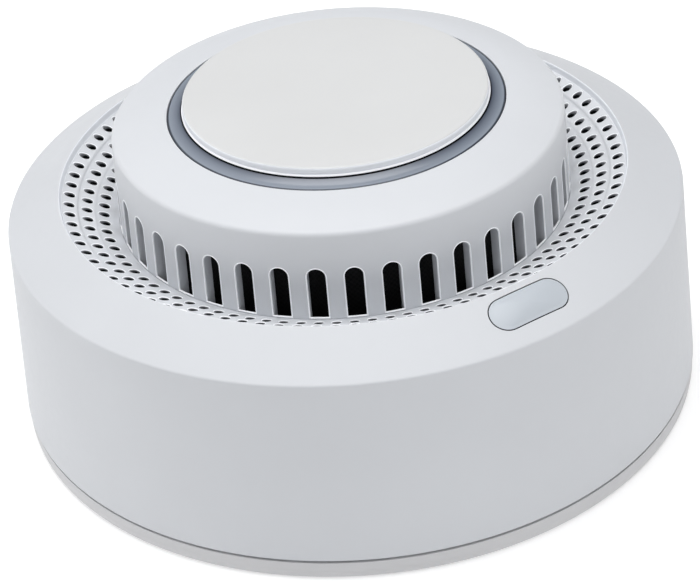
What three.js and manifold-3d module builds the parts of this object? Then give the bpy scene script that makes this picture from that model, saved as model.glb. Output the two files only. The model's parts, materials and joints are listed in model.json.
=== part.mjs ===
// Ceiling smoke alarm: a twist-off head on a mounting bracket, with a ring of air slots,
// a perforated ring for smoke and sound, a large test button in a light ring, and a small
// hush button on the sloping shoulder. Millimetres, +Z up. The ceiling side is at Z = 0,
// the room side faces +Z, and the origin is at the centre of the underside.
import * as THREE from "three";
import { mergeVertices } from "three/addons/utils/BufferGeometryUtils.js";
import Module from "manifold-3d";

const wasm = await Module();
wasm.setup();

// ---------------------------------------------------------------- driving dimensions
const GAP = 0.3; // air between pieces that pass or rest on each other
const SEAT = 0.15; // air under a part that sits flat on a board
const OVERLAP = 0.4; // how far the parts of one piece run into each other before they are joined

// mounting bracket
const BRACKET_RADIUS = 49;
const BRACKET_HEIGHT = 2.7;
const BRACKET_FLOOR = 1.6;
const BRACKET_RIM_INNER = 46.6;
const BRACKET_FOOT_ROUNDING = 1;
const BRACKET_RIM_CHAMFER = 0.25;
const SCREW_SLOT_ANGLES = [45, 135, 225, 315];
const SCREW_SLOT_WIDTH = 3.9;
const SCREW_SLOT_RADIUS = 30;
const SCREW_SLOT_HALF_ANGLE = 16;

// bayonet between bracket and head
const HOOK_INNER = 38;
const HOOK_OUTER = 41;
const HOOK_POST_HALF_ANGLE = 3.6;
const HOOK_TONGUE_ANGLE = 8;
const HOOK_TONGUE_THICKNESS = 1.2;
const HOOK_ANGLES = [0, 120, 240];
const TWIST = 15; // degrees from locked to free
const BAYONET_CLEARANCE_ANGLE = 1.2;
const BAYONET_CLEARANCE = 0.4;

// drum shell: the side wall and the sloping shoulder
const DRUM_BOTTOM = 3.1;
const DRUM_FOOT_RADIUS = 49.3;
const CREASE_RADIUS = 48;
const CREASE_HEIGHT = 30.8;
const LIP_RADIUS = 40.2;
const LIP_HEIGHT = 34.97;
const DRUM_WALL = 2;
const LEDGE_RADIUS = 39.4;
const LEDGE_TOP = 32.2;
const LEDGE_CHAMFER = 0.4; // the ledge rises by this much towards the lip
const LEDGE_BOTTOM = 31.2;
const LEDGE_ROOT_RADIUS = 42.2;
// where the shoulder's underside meets the wall
const SHOULDER_UNDERSIDE_RADIUS = 46.1;
const SHOULDER_UNDERSIDE_HEIGHT = 29.55;

// screw bosses of the drum shell, and their screws
const BOSS_ANGLES = [84, 204, 324];
const BOSS_CIRCLE = 43.3;
const BOSS_RADIUS = 4;
const BOSS_NECK_RADIUS = 2.8;
const BOSS_BOTTOM = 5.2;
const BOSS_SHELF = 23.8; // the main board rests here
const BOSS_TOP = 31;
const SCREW_RADIUS = 1.25;
const SCREW_HEAD_RADIUS = 2.7;
const SCREW_HEAD_BOTTOM = 2.6;
const SCREW_HEAD_HEIGHT = 0.9;
const SCREW_TIP = 12;
const RECESS_LENGTH = 2.4;
const RECESS_WIDTH = 0.6;
const RECESS_DEPTH = 0.5;

// rear chassis, battery box and door
const CHASSIS_RADIUS = 46.9;
const CHASSIS_BOTTOM = 3;
const CHASSIS_TOP = 4.6;
const BATTERY_BOX_HALF_LENGTH = 29.5;
const BATTERY_BOX_FRONT = -4.7;
const BATTERY_BOX_BACK = 26.1;
const BATTERY_BOX_CEILING = 21;
const BATTERY_BOX_WALL = 1.2;
const DOOR_HALF_LENGTH = 27.2;
const DOOR_FRONT = -2.8;
const DOOR_BACK = 24.2;
const DOOR_THICKNESS = 1.4;
const DOOR_POST = 1.2;
const DOOR_TONGUE_PLACE = 16;
const DOOR_TONGUE_WIDTH = 8;
const DOOR_TONGUE_REACH = 1.4;
const DOOR_TONGUE_THICKNESS = 1;
const DOOR_LATCH_WIDTH = 10;
const DOOR_LATCH_REACH = 1;
const DOOR_LATCH_THICKNESS = 0.8;

// two AA cells and their contacts
const CELL_RADIUS = 7.15;
const CELL_BODY_LENGTH = 49.2;
const CELL_NUB_LENGTH = 1.3;
const CELL_NUB_RADIUS = 2.7;
const CELL_HEIGHT = 13.4; // axis above the underside
const CELL_ROWS = [3.2, 18.2]; // Y of the two axes
const CELL_TIP = 28; // X of the positive tip
const SPRING_TURNS = 3.5;
const SPRING_WIRE_RADIUS = 0.4;
const SPRING_BASE_RADIUS = 3.6;
const SPRING_TIP_RADIUS = 2.2;
const CONTACT_SIZE = 9;
const CONTACT_THICKNESS = 0.4;

// perforated ring
const GRILLE_INNER_RADIUS = 32.45;
const GRILLE_OUTER_RADIUS = 39.9;
const GRILLE_INNER_HEIGHT = 30.25;
const GRILLE_OUTER_HEIGHT = 33.7;
const GRILLE_THICKNESS = 1;
const GRILLE_ROWS = [34.25, 36.65, 38.95];
const GRILLE_COLUMNS = 91;
const GRILLE_PHASE = 0.6; // azimuth of the first column, degrees
const GRILLE_HOLE_RADIAL = 1.25;
const GRILLE_HOLE_ROUND = 1.25; // measured round the ring

// turret with its ring of air slots
const TURRET_FOOT_RADIUS = 32.15;
const TURRET_FOOT_HEIGHT = 30.2;
const TURRET_BOTTOM = 28.4;
const TURRET_EDGE_RADIUS = 31.7;
const TURRET_EDGE_HEIGHT = 43.1;
const TURRET_BEVEL_RADIAL = 0.45;
const TURRET_BEVEL_HEIGHT = 0.6;
const DOME_MIDDLE_RADIUS = 27.4;
const DOME_MIDDLE_HEIGHT = 44.85;
const TURRET_WALL = 1.7;
const TURRET_ROOF = 1.4;
const SLOT_COUNT = 40;
const SLOT_PHASE = 270.45; // azimuth of the first slot, degrees
const SLOT_WIDTH = 2.5;
const SLOT_BOTTOM = 30.6;
const SLOT_SILL_DROP = 1.4; // the sill falls this far through the wall, so that it hides from view
const SLOT_TOP = 38.15;
const COLLAR_RADIUS = 23.9;
const COLLAR_HEIGHT = 45.25;
const COLLAR_WALL = 1.2;
const COLLAR_BOTTOM = 43.2;

// light ring and test button
const LIGHT_INNER_RADIUS = 21.9;
const LIGHT_OUTER_RADIUS = 23.6;
const LIGHT_INNER_HEIGHT = 45.85;
const LIGHT_OUTER_HEIGHT = 45.05;
const LIGHT_BOTTOM = 42.8;
const BUTTON_RADIUS = 21.6;
const BUTTON_BEVEL = 0.45;
const BUTTON_RIM_TOP = 46.85;
const BUTTON_CROWN = 47.3;
const BUTTON_CAMBER = 0.1; // fall of the top from the middle to the bevel
const BUTTON_SKIRT_BOTTOM = 43.9;
const BUTTON_SKIRT_WALL = 1.2;
const BUTTON_UNDERSIDE = 45.4;
const BUTTON_STEM_RADIUS = 2.5;
const BUTTON_STEM_BOTTOM = 44.7;
const CLIP_ANGLES = [30, 150, 270];
const CLIP_INNER = 18.8;
const CLIP_OUTER = 20;
const CLIP_WIDTH = 4;
const CLIP_BOTTOM = 40;
const CLIP_HOOK_TOP = 40.65;
const CLIP_CATCH = 1.1;

// boards
const MAIN_BOARD_RADIUS = 42;
const MAIN_BOARD_BOTTOM = 24;
const MAIN_BOARD_TOP = 25.6;
const TOP_BOARD_RADIUS = 23.4;
const TOP_BOARD_BOTTOM = 40.9;
const TOP_BOARD_TOP = 42.1;
const CHIP_SIZE = 7;
const CHIP_HEIGHT = 1.2;
const CHIP_PLACE = [-34, 8];
const COIL_RADIUS = 3.3;
const COIL_HEIGHT = 3.6;
const COIL_PLACE = [37.4, 5];
// the flat cable between the boards
const LINK_OUTSIDE = 29.3;
const LINK_INSIDE = 21.6;
const LINK_CLEARANCE = 0.5;
const LINK_THICKNESS = 0.4;
const LINK_WIDTH = 7;
const LINK_AZIMUTH = 90;
// lamps under the light ring
const LED_CIRCLE = 22.75;
const LED_COUNT = 4;
const LED_PHASE = 45;
const LED_WIDTH = 1.2;
const LED_LENGTH = 1.8;
const LED_HEIGHT = 0.4;

// switches
const SWITCH_FLOOR = 0.3;
const TEST_SWITCH_SIZE = 6;
const TEST_SWITCH_TOP = 43.5;
const TEST_PLUNGER_RADIUS = 1.6;
const TEST_PLUNGER_TOP = 44.1;
const TEST_PLUNGER_BOTTOM = 42.9;

// optical chamber
const CHAMBER_BASE_RADIUS = 27.5;
const CHAMBER_BASE_TOP = 27.4;
const CHAMBER_LID_RADIUS = 26.6;
const CHAMBER_LID_BOTTOM = 37.6;
const CHAMBER_LID_TOP = 38.8;
const VANE_COUNT = 18;
const VANE_CIRCLE = 23;
const VANE_LENGTH = 5.5;
const VANE_THICKNESS = 0.8;
const VANE_TWIST = 50; // degrees away from radial
const SCREEN_INNER = 27;
const SCREEN_OUTER = 27.4;
const SCREEN_TOP = 38.6;
const OPTIC_CIRCLE = 13;
const OPTIC_HEIGHT = 32;
const LAMP_RADIUS = 1.8;
const LAMP_TIP = 2.8;
const LAMP_BACK = 2.6;
const SOCKET_HALF_WIDTH = 3;
const SOCKET_BACK = 4;
const LID_POST_ANGLES = [90, 210, 330];
const LID_POST_CIRCLE = 14;
const LID_POST_RADIUS = 1.5;
const EMITTER_ANGLE = 150;
const PHOTODIODE_ANGLE = 285;

// sounder
const SOUNDER_Y = -26.5;
const SOUNDER_RADIUS = 16.5;
const SOUNDER_BOTTOM = 9;
const SOUNDER_TOP = 22;
const SOUNDER_WALL = 1.2;
const SOUNDER_LEDGE = 16;
const SOUNDER_SEAT_WIDTH = 2;
const SOUNDER_DISC_THICKNESS = 0.5;
const SOUNDER_LID_THICKNESS = 1.4;
const PORT_Y = -33;
const PORT_RADIUS = 4.5;

// hush button on the shoulder: depths are measured from the shoulder's surface
const HUSH_AZIMUTH = -58.6;
const HUSH_CIRCLE = 43.5;
const HUSH_LENGTH = 11.6;
const HUSH_WIDTH = 4.7;
const HUSH_SIDE_GAP = 0.25;
const HUSH_SHELL_THICKNESS = 2.05;
const HUSH_FLANGE = 0.85; // how far the retaining tab stands out at each end
const HUSH_FLANGE_TOP = -2.35;
const HUSH_FLANGE_BOTTOM = -3.3;
const HUSH_STEM_BOTTOM = -4;
const HUSH_PLUNGER_TOP = -4.45;
const HUSH_PLUNGER_BOTTOM = -5.6;
const HUSH_SWITCH_TOP = -5;
const HUSH_SWITCH_BOTTOM = -6.2;
const HUSH_BOARD_TOP = -6.35;
const HUSH_BOARD_BOTTOM = -7.15;
const HUSH_BOARD_LENGTH = 12;
const HUSH_BOARD_WIDTH = 6.4;
const HUSH_STEM_RADIUS = 1.2;
const HUSH_PLUNGER_RADIUS = 0.8;
const HUSH_SWITCH_SIZE = 4.4;
const HUSH_HOLE_DEPTH = 6;
const HUSH_POCKET_DEPTH = 9;

// facets of the round pieces
const DRUM_FACETS = 64;
const ROUND_FACETS = 44;
const SMALL_FACETS = 10;
const SOUNDER_FACETS = 32;
const PORT_FACETS = 12;
const PIN_FACETS = 8;

// ---------------------------------------------------------------- materials
const plastic = (color, roughness) => new THREE.MeshStandardMaterial({ color, roughness, metalness: 0 });
const metal = (color, roughness) => new THREE.MeshStandardMaterial({ color, roughness, metalness: 1 });
const WHITE = plastic(0xe6e8ea, 0.5);
const BRACKET_GREY = plastic(0xc9cacc, 0.55);
const REAR_WHITE = plastic(0xd8dadc, 0.6);
const HUSH_GREY = plastic(0xb9c1ca, 0.45);
const LIGHT_GUIDE = plastic(0x97a0ac, 0.3);
const BLACK = plastic(0x111214, 0.6);
const BOARD_GREEN = plastic(0x1f5a3c, 0.5);
const CHIP_BLACK = plastic(0x1a1b1d, 0.45);
const CELL_JACKET = plastic(0x3d4148, 0.4);
const LED_WHITE = plastic(0xf2f0e6, 0.4);
const STEEL = metal(0xb4b8bc, 0.35);
const BRASS = metal(0xc8a558, 0.35);
const SCREEN_METAL = metal(0x3a3c40, 0.5);

// ---------------------------------------------------------------- shape helpers
const radians = THREE.MathUtils.degToRad;

// keeps only positions and shared corners, so that the geometry is one closed mesh
function weld(geometry) {
  const bare = geometry.index ? geometry.clone() : geometry;
  for (const name of Object.keys(bare.attributes)) {
    if (name !== "position") bare.deleteAttribute(name);
  }
  const welded = mergeVertices(bare, 1e-4);
  const corner = welded.index.array;
  const kept = [];
  for (let i = 0; i < corner.length; i += 3) {
    const [a, b, c] = [corner[i], corner[i + 1], corner[i + 2]];
    if (a !== b && b !== c && c !== a) kept.push(a, b, c);
  }
  welded.setIndex(kept);
  return welded;
}

// six times the volume inside the faces, negative when they point inwards
function signedVolume(geometry) {
  const at = geometry.attributes.position;
  const index = geometry.index.array;
  const [p, q, r] = [new THREE.Vector3(), new THREE.Vector3(), new THREE.Vector3()];
  let volume = 0;
  for (let i = 0; i < index.length; i += 3) {
    p.fromBufferAttribute(at, index[i]);
    q.fromBufferAttribute(at, index[i + 1]);
    r.fromBufferAttribute(at, index[i + 2]);
    volume += p.dot(q.cross(r));
  }
  return volume;
}

function faceOut(geometry) {
  const welded = weld(geometry);
  if (signedVolume(welded) < 0) {
    const index = welded.index.array;
    for (let i = 0; i < index.length; i += 3) {
      const second = index[i + 1];
      index[i + 1] = index[i + 2];
      index[i + 2] = second;
    }
  }
  return welded;
}

function toSolid(geometry) {
  const closed = faceOut(geometry);
  const mesh = new wasm.Mesh({
    numProp: 3,
    vertProperties: new Float32Array(closed.attributes.position.array),
    triVerts: new Uint32Array(closed.index.array),
  });
  return new wasm.Manifold(mesh);
}

function toGeometry(solid) {
  const mesh = solid.getMesh();
  const geometry = new THREE.BufferGeometry();
  geometry.setAttribute("position", new THREE.BufferAttribute(new Float32Array(mesh.vertProperties), 3));
  geometry.setIndex(new THREE.BufferAttribute(new Uint32Array(mesh.triVerts), 1));
  return geometry;
}

function join(...geometries) {
  const solids = geometries.map(toSolid);
  return toGeometry(solids.reduce((whole, next) => whole.add(next)));
}

function cut(geometry, ...tools) {
  const solids = tools.map(toSolid);
  const tool = solids.reduce((whole, next) => whole.add(next));
  return toGeometry(toSolid(geometry).subtract(tool));
}

// a profile of [radius, height] points turned about Z: it starts and ends on the axis, or it is
// closed into a ring. The first facet edge is at `azimuth`.
function turned(profile, facets = ROUND_FACETS, azimuth = -90) {
  const points = profile.map(([radius, height]) => new THREE.Vector2(radius, height));
  const startsOnAxis = profile[0][0] === 0;
  if (!startsOnAxis) points.push(points[0].clone());
  const geometry = new THREE.LatheGeometry(points, facets, radians(azimuth + 90));
  return geometry.rotateX(Math.PI / 2);
}

function cylinder(radius, bottom, top, facets = SMALL_FACETS) {
  const geometry = new THREE.CylinderGeometry(radius, radius, top - bottom, facets);
  return geometry.rotateX(Math.PI / 2).translate(0, 0, (bottom + top) / 2);
}

// a box given by its two opposite corners
function box(x0, y0, z0, x1, y1, z1) {
  const geometry = new THREE.BoxGeometry(x1 - x0, y1 - y0, z1 - z0);
  return geometry.translate((x0 + x1) / 2, (y0 + y1) / 2, (z0 + z1) / 2);
}

// part of a flat ring between two radii and two azimuths, in degrees
function sector(inner, outer, from, to, bottom, top, steps = 5) {
  const shape = new THREE.Shape();
  for (let i = 0; i <= steps; i += 1) {
    const angle = radians(from + ((to - from) * i) / steps);
    const corner = [outer * Math.cos(angle), outer * Math.sin(angle)];
    if (i === 0) shape.moveTo(...corner);
    else shape.lineTo(...corner);
  }
  for (let i = steps; i >= 0; i -= 1) {
    const angle = radians(from + ((to - from) * i) / steps);
    shape.lineTo(inner * Math.cos(angle), inner * Math.sin(angle));
  }
  shape.closePath();
  return new THREE.ExtrudeGeometry(shape, { depth: top - bottom, bevelEnabled: false }).translate(0, 0, bottom);
}

// a slab with two round ends, long along X
function stadium(length, width, bottom, top, steps = 6) {
  const half = length / 2 - width / 2;
  const shape = new THREE.Shape();
  for (let i = 0; i <= steps; i += 1) {
    const angle = -Math.PI / 2 + (Math.PI * i) / steps;
    const corner = [half + (width / 2) * Math.cos(angle), (width / 2) * Math.sin(angle)];
    if (i === 0) shape.moveTo(...corner);
    else shape.lineTo(...corner);
  }
  for (let i = 0; i <= steps; i += 1) {
    const angle = Math.PI / 2 + (Math.PI * i) / steps;
    shape.lineTo(-half + (width / 2) * Math.cos(angle), (width / 2) * Math.sin(angle));
  }
  shape.closePath();
  return new THREE.ExtrudeGeometry(shape, { depth: top - bottom, bevelEnabled: false }).translate(0, 0, bottom);
}

function aroundZ(geometry, azimuth) {
  return geometry.rotateZ(radians(azimuth));
}

const alarm = new THREE.Group();

function addPiece(name, geometry, material, parent = alarm) {
  const mesh = new THREE.Mesh(faceOut(geometry), material);
  mesh.name = name;
  parent.add(mesh);
  return mesh;
}

// ---------------------------------------------------------------- the shoulder's own frame
// +Z of this frame is square to the sloping shoulder, +X runs round the alarm.
const shoulderSlope = Math.atan2(LIP_HEIGHT - CREASE_HEIGHT, CREASE_RADIUS - LIP_RADIUS);

function shoulderFrame() {
  const frame = new THREE.Group();
  const height = CREASE_HEIGHT + (CREASE_RADIUS - HUSH_CIRCLE) * Math.tan(shoulderSlope);
  const azimuth = radians(HUSH_AZIMUTH);
  frame.position.set(HUSH_CIRCLE * Math.cos(azimuth), HUSH_CIRCLE * Math.sin(azimuth), height);
  frame.rotation.order = "ZXY";
  frame.rotation.z = azimuth + Math.PI / 2;
  frame.rotation.x = shoulderSlope;
  frame.updateMatrixWorld(true);
  return frame;
}

const hushFrame = shoulderFrame();
alarm.add(hushFrame);

// ---------------------------------------------------------------- mounting bracket
function bracketHook(azimuth) {
  const from = azimuth - HOOK_POST_HALF_ANGLE;
  const to = azimuth + HOOK_POST_HALF_ANGLE;
  const tongueBottom = CHASSIS_TOP + GAP;
  const tongueTop = tongueBottom + HOOK_TONGUE_THICKNESS;
  const post = sector(HOOK_INNER, HOOK_OUTER, from, to, BRACKET_FLOOR - OVERLAP, tongueTop, 2);
  const tongue = sector(HOOK_INNER, HOOK_OUTER, to - 1, to + HOOK_TONGUE_ANGLE, tongueBottom, tongueTop, 3);
  return join(post, tongue);
}

function mountingBracket() {
  const plate = turned(
    [
      [0, 0],
      [BRACKET_RADIUS - BRACKET_FOOT_ROUNDING, 0],
      [BRACKET_RADIUS - BRACKET_FOOT_ROUNDING * 0.3, BRACKET_FOOT_ROUNDING * 0.3],
      [BRACKET_RADIUS, BRACKET_FOOT_ROUNDING],
      [BRACKET_RADIUS, BRACKET_HEIGHT - BRACKET_RIM_CHAMFER],
      [BRACKET_RADIUS - BRACKET_RIM_CHAMFER, BRACKET_HEIGHT],
      [BRACKET_RIM_INNER, BRACKET_HEIGHT],
      [BRACKET_RIM_INNER, BRACKET_FLOOR],
      [0, BRACKET_FLOOR],
    ],
    DRUM_FACETS,
  );
  const slots = SCREW_SLOT_ANGLES.map((azimuth) =>
    sector(
      SCREW_SLOT_RADIUS - SCREW_SLOT_WIDTH / 2,
      SCREW_SLOT_RADIUS + SCREW_SLOT_WIDTH / 2,
      azimuth - SCREW_SLOT_HALF_ANGLE,
      azimuth + SCREW_SLOT_HALF_ANGLE,
      -1,
      BRACKET_FLOOR + 1,
    ),
  );
  return join(cut(plate, ...slots), ...HOOK_ANGLES.map(bracketHook));
}
addPiece("mounting_bracket", mountingBracket(), BRACKET_GREY);

// ---------------------------------------------------------------- rear chassis and door
function rearChassis() {
  const floor = turned(
    [
      [0, CHASSIS_BOTTOM],
      [CHASSIS_RADIUS, CHASSIS_BOTTOM],
      [CHASSIS_RADIUS, CHASSIS_TOP],
      [0, CHASSIS_TOP],
    ],
    DRUM_FACETS,
  );
  const outer = BATTERY_BOX_WALL;
  const batteryBox = box(
    -BATTERY_BOX_HALF_LENGTH - outer,
    BATTERY_BOX_FRONT - outer,
    CHASSIS_BOTTOM + 1,
    BATTERY_BOX_HALF_LENGTH + outer,
    BATTERY_BOX_BACK + outer,
    BATTERY_BOX_CEILING + outer,
  );
  const batterySpace = box(
    -BATTERY_BOX_HALF_LENGTH,
    BATTERY_BOX_FRONT,
    CHASSIS_TOP,
    BATTERY_BOX_HALF_LENGTH,
    BATTERY_BOX_BACK,
    BATTERY_BOX_CEILING,
  );
  const doorway = box(
    -DOOR_HALF_LENGTH - GAP,
    DOOR_FRONT - GAP,
    CHASSIS_BOTTOM - 1,
    DOOR_HALF_LENGTH + GAP,
    DOOR_BACK + GAP,
    CHASSIS_TOP + 1,
  );
  const bayonetOpenings = HOOK_ANGLES.map((azimuth) =>
    sector(
      HOOK_INNER - BAYONET_CLEARANCE,
      HOOK_OUTER + BAYONET_CLEARANCE,
      azimuth - TWIST - HOOK_POST_HALF_ANGLE - BAYONET_CLEARANCE_ANGLE,
      azimuth + HOOK_POST_HALF_ANGLE + BAYONET_CLEARANCE_ANGLE,
      CHASSIS_BOTTOM - 1,
      CHASSIS_TOP + 1,
    ),
  );
  const screwSeats = BOSS_ANGLES.map((azimuth) => {
    const headTop = SCREW_HEAD_BOTTOM + SCREW_HEAD_HEIGHT;
    const seat = cylinder(SCREW_HEAD_RADIUS + GAP, CHASSIS_BOTTOM - 1, headTop + GAP);
    const hole = cylinder(SCREW_RADIUS + GAP, CHASSIS_BOTTOM, CHASSIS_TOP + 1);
    return aroundZ(join(seat, hole).translate(BOSS_CIRCLE, 0, 0), azimuth);
  });
  return cut(join(floor, batteryBox), batterySpace, doorway, ...bayonetOpenings, ...screwSeats);
}
addPiece("rear_chassis", rearChassis(), REAR_WHITE);

function batteryDoor() {
  const top = CHASSIS_BOTTOM + DOOR_THICKNESS;
  const panel = box(-DOOR_HALF_LENGTH, DOOR_FRONT, CHASSIS_BOTTOM, DOOR_HALF_LENGTH, DOOR_BACK, top);
  const tongueBottom = CHASSIS_TOP + GAP;
  const root = top - OVERLAP;
  const tongue = (x) => {
    const left = x - DOOR_TONGUE_WIDTH / 2;
    const right = x + DOOR_TONGUE_WIDTH / 2;
    const inside = DOOR_FRONT + DOOR_POST;
    const tongueTop = tongueBottom + DOOR_TONGUE_THICKNESS;
    return join(
      box(left, DOOR_FRONT, root, right, inside, tongueTop),
      box(left, DOOR_FRONT - DOOR_TONGUE_REACH, tongueBottom, right, inside, tongueTop),
    );
  };
  const half = DOOR_LATCH_WIDTH / 2;
  const latchInside = DOOR_BACK - DOOR_POST;
  const latchTop = tongueBottom + DOOR_LATCH_THICKNESS;
  const latch = join(
    box(-half, latchInside, root, half, DOOR_BACK, latchTop),
    box(-half, latchInside, tongueBottom, half, DOOR_BACK + DOOR_LATCH_REACH, latchTop),
  );
  return join(panel, tongue(-DOOR_TONGUE_PLACE), tongue(DOOR_TONGUE_PLACE), latch);
}
addPiece("battery_door", batteryDoor(), REAR_WHITE);

// ---------------------------------------------------------------- cells and contacts
function cell() {
  const geometry = turned(
    [
      [0, 0],
      [CELL_RADIUS, 0],
      [CELL_RADIUS, CELL_BODY_LENGTH],
      [CELL_NUB_RADIUS, CELL_BODY_LENGTH],
      [CELL_NUB_RADIUS, CELL_BODY_LENGTH + CELL_NUB_LENGTH],
      [0, CELL_BODY_LENGTH + CELL_NUB_LENGTH],
    ],
    16,
  );
  return geometry.rotateY(Math.PI / 2);
}

// a tapered coil on a square plate; the plate is at X = 0 and the coil stands along +X
function contactSpring(length) {
  class Coil extends THREE.Curve {
    getPoint(t, target = new THREE.Vector3()) {
      const angle = 2 * Math.PI * SPRING_TURNS * t;
      const radius = SPRING_BASE_RADIUS + (SPRING_TIP_RADIUS - SPRING_BASE_RADIUS) * t;
      return target.set(length * t, radius * Math.cos(angle), radius * Math.sin(angle));
    }
  }
  const wire = new THREE.Shape();
  const sides = 5;
  for (let i = 0; i < sides; i += 1) {
    const angle = (2 * Math.PI * i) / sides;
    const corner = [SPRING_WIRE_RADIUS * Math.cos(angle), SPRING_WIRE_RADIUS * Math.sin(angle)];
    if (i === 0) wire.moveTo(...corner);
    else wire.lineTo(...corner);
  }
  wire.closePath();
  const coil = new THREE.ExtrudeGeometry(wire, { steps: 28, extrudePath: new Coil(), bevelEnabled: false });
  return join(contactPlate(), coil);
}

function contactPlate() {
  const half = CONTACT_SIZE / 2;
  return box(-CONTACT_THICKNESS, -half, -half, 0, half, half);
}

function addCell(number, y, direction) {
  const group = new THREE.Group();
  group.position.set(0, y, CELL_HEIGHT);
  group.rotation.z = direction > 0 ? 0 : Math.PI;
  alarm.add(group);
  const negativeEnd = CELL_TIP - CELL_NUB_LENGTH - CELL_BODY_LENGTH;
  const body = addPiece("battery_" + number, cell(), CELL_JACKET, group);
  body.position.x = negativeEnd;
  const springBase = -BATTERY_BOX_HALF_LENGTH + GAP + CONTACT_THICKNESS;
  const springLength = negativeEnd - GAP - SPRING_WIRE_RADIUS - springBase;
  const spring = addPiece("contact_spring_" + number, contactSpring(springLength), STEEL, group);
  spring.position.x = springBase;
  const plate = addPiece("contact_plate_" + number, contactPlate(), STEEL, group);
  plate.position.x = CELL_TIP + GAP + CONTACT_THICKNESS;
}
addCell(1, CELL_ROWS[0], 1);
addCell(2, CELL_ROWS[1], -1);

// ---------------------------------------------------------------- drum shell
function drumShell() {
  const skin = turned(
    [
      [DRUM_FOOT_RADIUS, DRUM_BOTTOM],
      [CREASE_RADIUS, CREASE_HEIGHT],
      [LIP_RADIUS, LIP_HEIGHT],
      [LIP_RADIUS, LEDGE_TOP + LEDGE_CHAMFER],
      [LEDGE_RADIUS, LEDGE_TOP],
      [LEDGE_RADIUS, LEDGE_BOTTOM],
      [LEDGE_ROOT_RADIUS, LEDGE_BOTTOM],
      [SHOULDER_UNDERSIDE_RADIUS, SHOULDER_UNDERSIDE_HEIGHT],
      [DRUM_FOOT_RADIUS - DRUM_WALL, DRUM_BOTTOM],
    ],
    DRUM_FACETS,
  );
  const bosses = BOSS_ANGLES.map((azimuth) => {
    const post = cylinder(BOSS_RADIUS, BOSS_BOTTOM, BOSS_SHELF);
    const neck = cylinder(BOSS_NECK_RADIUS, BOSS_SHELF - 1, BOSS_TOP);
    return aroundZ(join(post, neck).translate(BOSS_CIRCLE, 0, 0), azimuth);
  });
  const screwHoles = BOSS_ANGLES.map((azimuth) => {
    const hole = cylinder(SCREW_RADIUS + GAP, BOSS_BOTTOM - 1, SCREW_TIP + 1);
    return aroundZ(hole.translate(BOSS_CIRCLE, 0, 0), azimuth);
  });
  const clear = 2 * HUSH_SIDE_GAP;
  const hushHole = stadium(HUSH_LENGTH + clear, HUSH_WIDTH + clear, -HUSH_HOLE_DEPTH, HUSH_HOLE_DEPTH);
  const pocketRoom = 2 * (HUSH_FLANGE + GAP);
  const hushPocket = stadium(
    HUSH_LENGTH + pocketRoom,
    HUSH_WIDTH + clear,
    -HUSH_POCKET_DEPTH,
    -HUSH_SHELL_THICKNESS,
  );
  const hushCuts = [hushHole, hushPocket].map((tool) => tool.applyMatrix4(hushFrame.matrixWorld));
  return cut(join(skin, ...bosses), ...screwHoles, ...hushCuts);
}
addPiece("drum_shell", drumShell(), WHITE);

function caseScrew() {
  const head = cylinder(SCREW_HEAD_RADIUS, SCREW_HEAD_BOTTOM, SCREW_HEAD_BOTTOM + SCREW_HEAD_HEIGHT);
  const shank = cylinder(SCREW_RADIUS, SCREW_HEAD_BOTTOM + OVERLAP, SCREW_TIP);
  const long = RECESS_LENGTH / 2;
  const thin = RECESS_WIDTH / 2;
  const below = SCREW_HEAD_BOTTOM - 1;
  const recessTop = SCREW_HEAD_BOTTOM + RECESS_DEPTH;
  const recess = box(-long, -thin, below, long, thin, recessTop);
  const crossRecess = box(-thin, -long, below, thin, long, recessTop);
  return cut(join(head, shank), recess, crossRecess);
}
BOSS_ANGLES.forEach((azimuth, i) => {
  const screw = addPiece("case_screw_" + (i + 1), caseScrew(), STEEL);
  const angle = radians(azimuth);
  screw.position.set(BOSS_CIRCLE * Math.cos(angle), BOSS_CIRCLE * Math.sin(angle), 0);
});

// ---------------------------------------------------------------- perforated ring
function grilleHeight(radius) {
  const share = (radius - GRILLE_INNER_RADIUS) / (GRILLE_OUTER_RADIUS - GRILLE_INNER_RADIUS);
  return GRILLE_INNER_HEIGHT + share * (GRILLE_OUTER_HEIGHT - GRILLE_INNER_HEIGHT);
}

function grilleRing() {
  const pitch = 360 / GRILLE_COLUMNS;
  const plate = turned(
    [
      [GRILLE_INNER_RADIUS, GRILLE_INNER_HEIGHT],
      [GRILLE_OUTER_RADIUS, GRILLE_OUTER_HEIGHT],
      [GRILLE_OUTER_RADIUS, GRILLE_OUTER_HEIGHT - GRILLE_THICKNESS],
      [GRILLE_INNER_RADIUS, GRILLE_INNER_HEIGHT - GRILLE_THICKNESS],
    ],
    GRILLE_COLUMNS,
    GRILLE_PHASE - pitch / 2,
  );
  const across = GRILLE_HOLE_RADIAL / 2;
  const along = GRILLE_HOLE_ROUND / 2;
  const holes = [];
  for (let column = 0; column < GRILLE_COLUMNS; column += 1) {
    for (const radius of GRILLE_ROWS) {
      const middle = grilleHeight(radius) - GRILLE_THICKNESS / 2;
      const hole = box(radius - across, -along, middle - 2, radius + across, along, middle + 2);
      holes.push(aroundZ(hole, GRILLE_PHASE + column * pitch));
    }
  }
  return cut(plate, ...holes);
}
addPiece("grille_ring", grilleRing(), WHITE);

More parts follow.
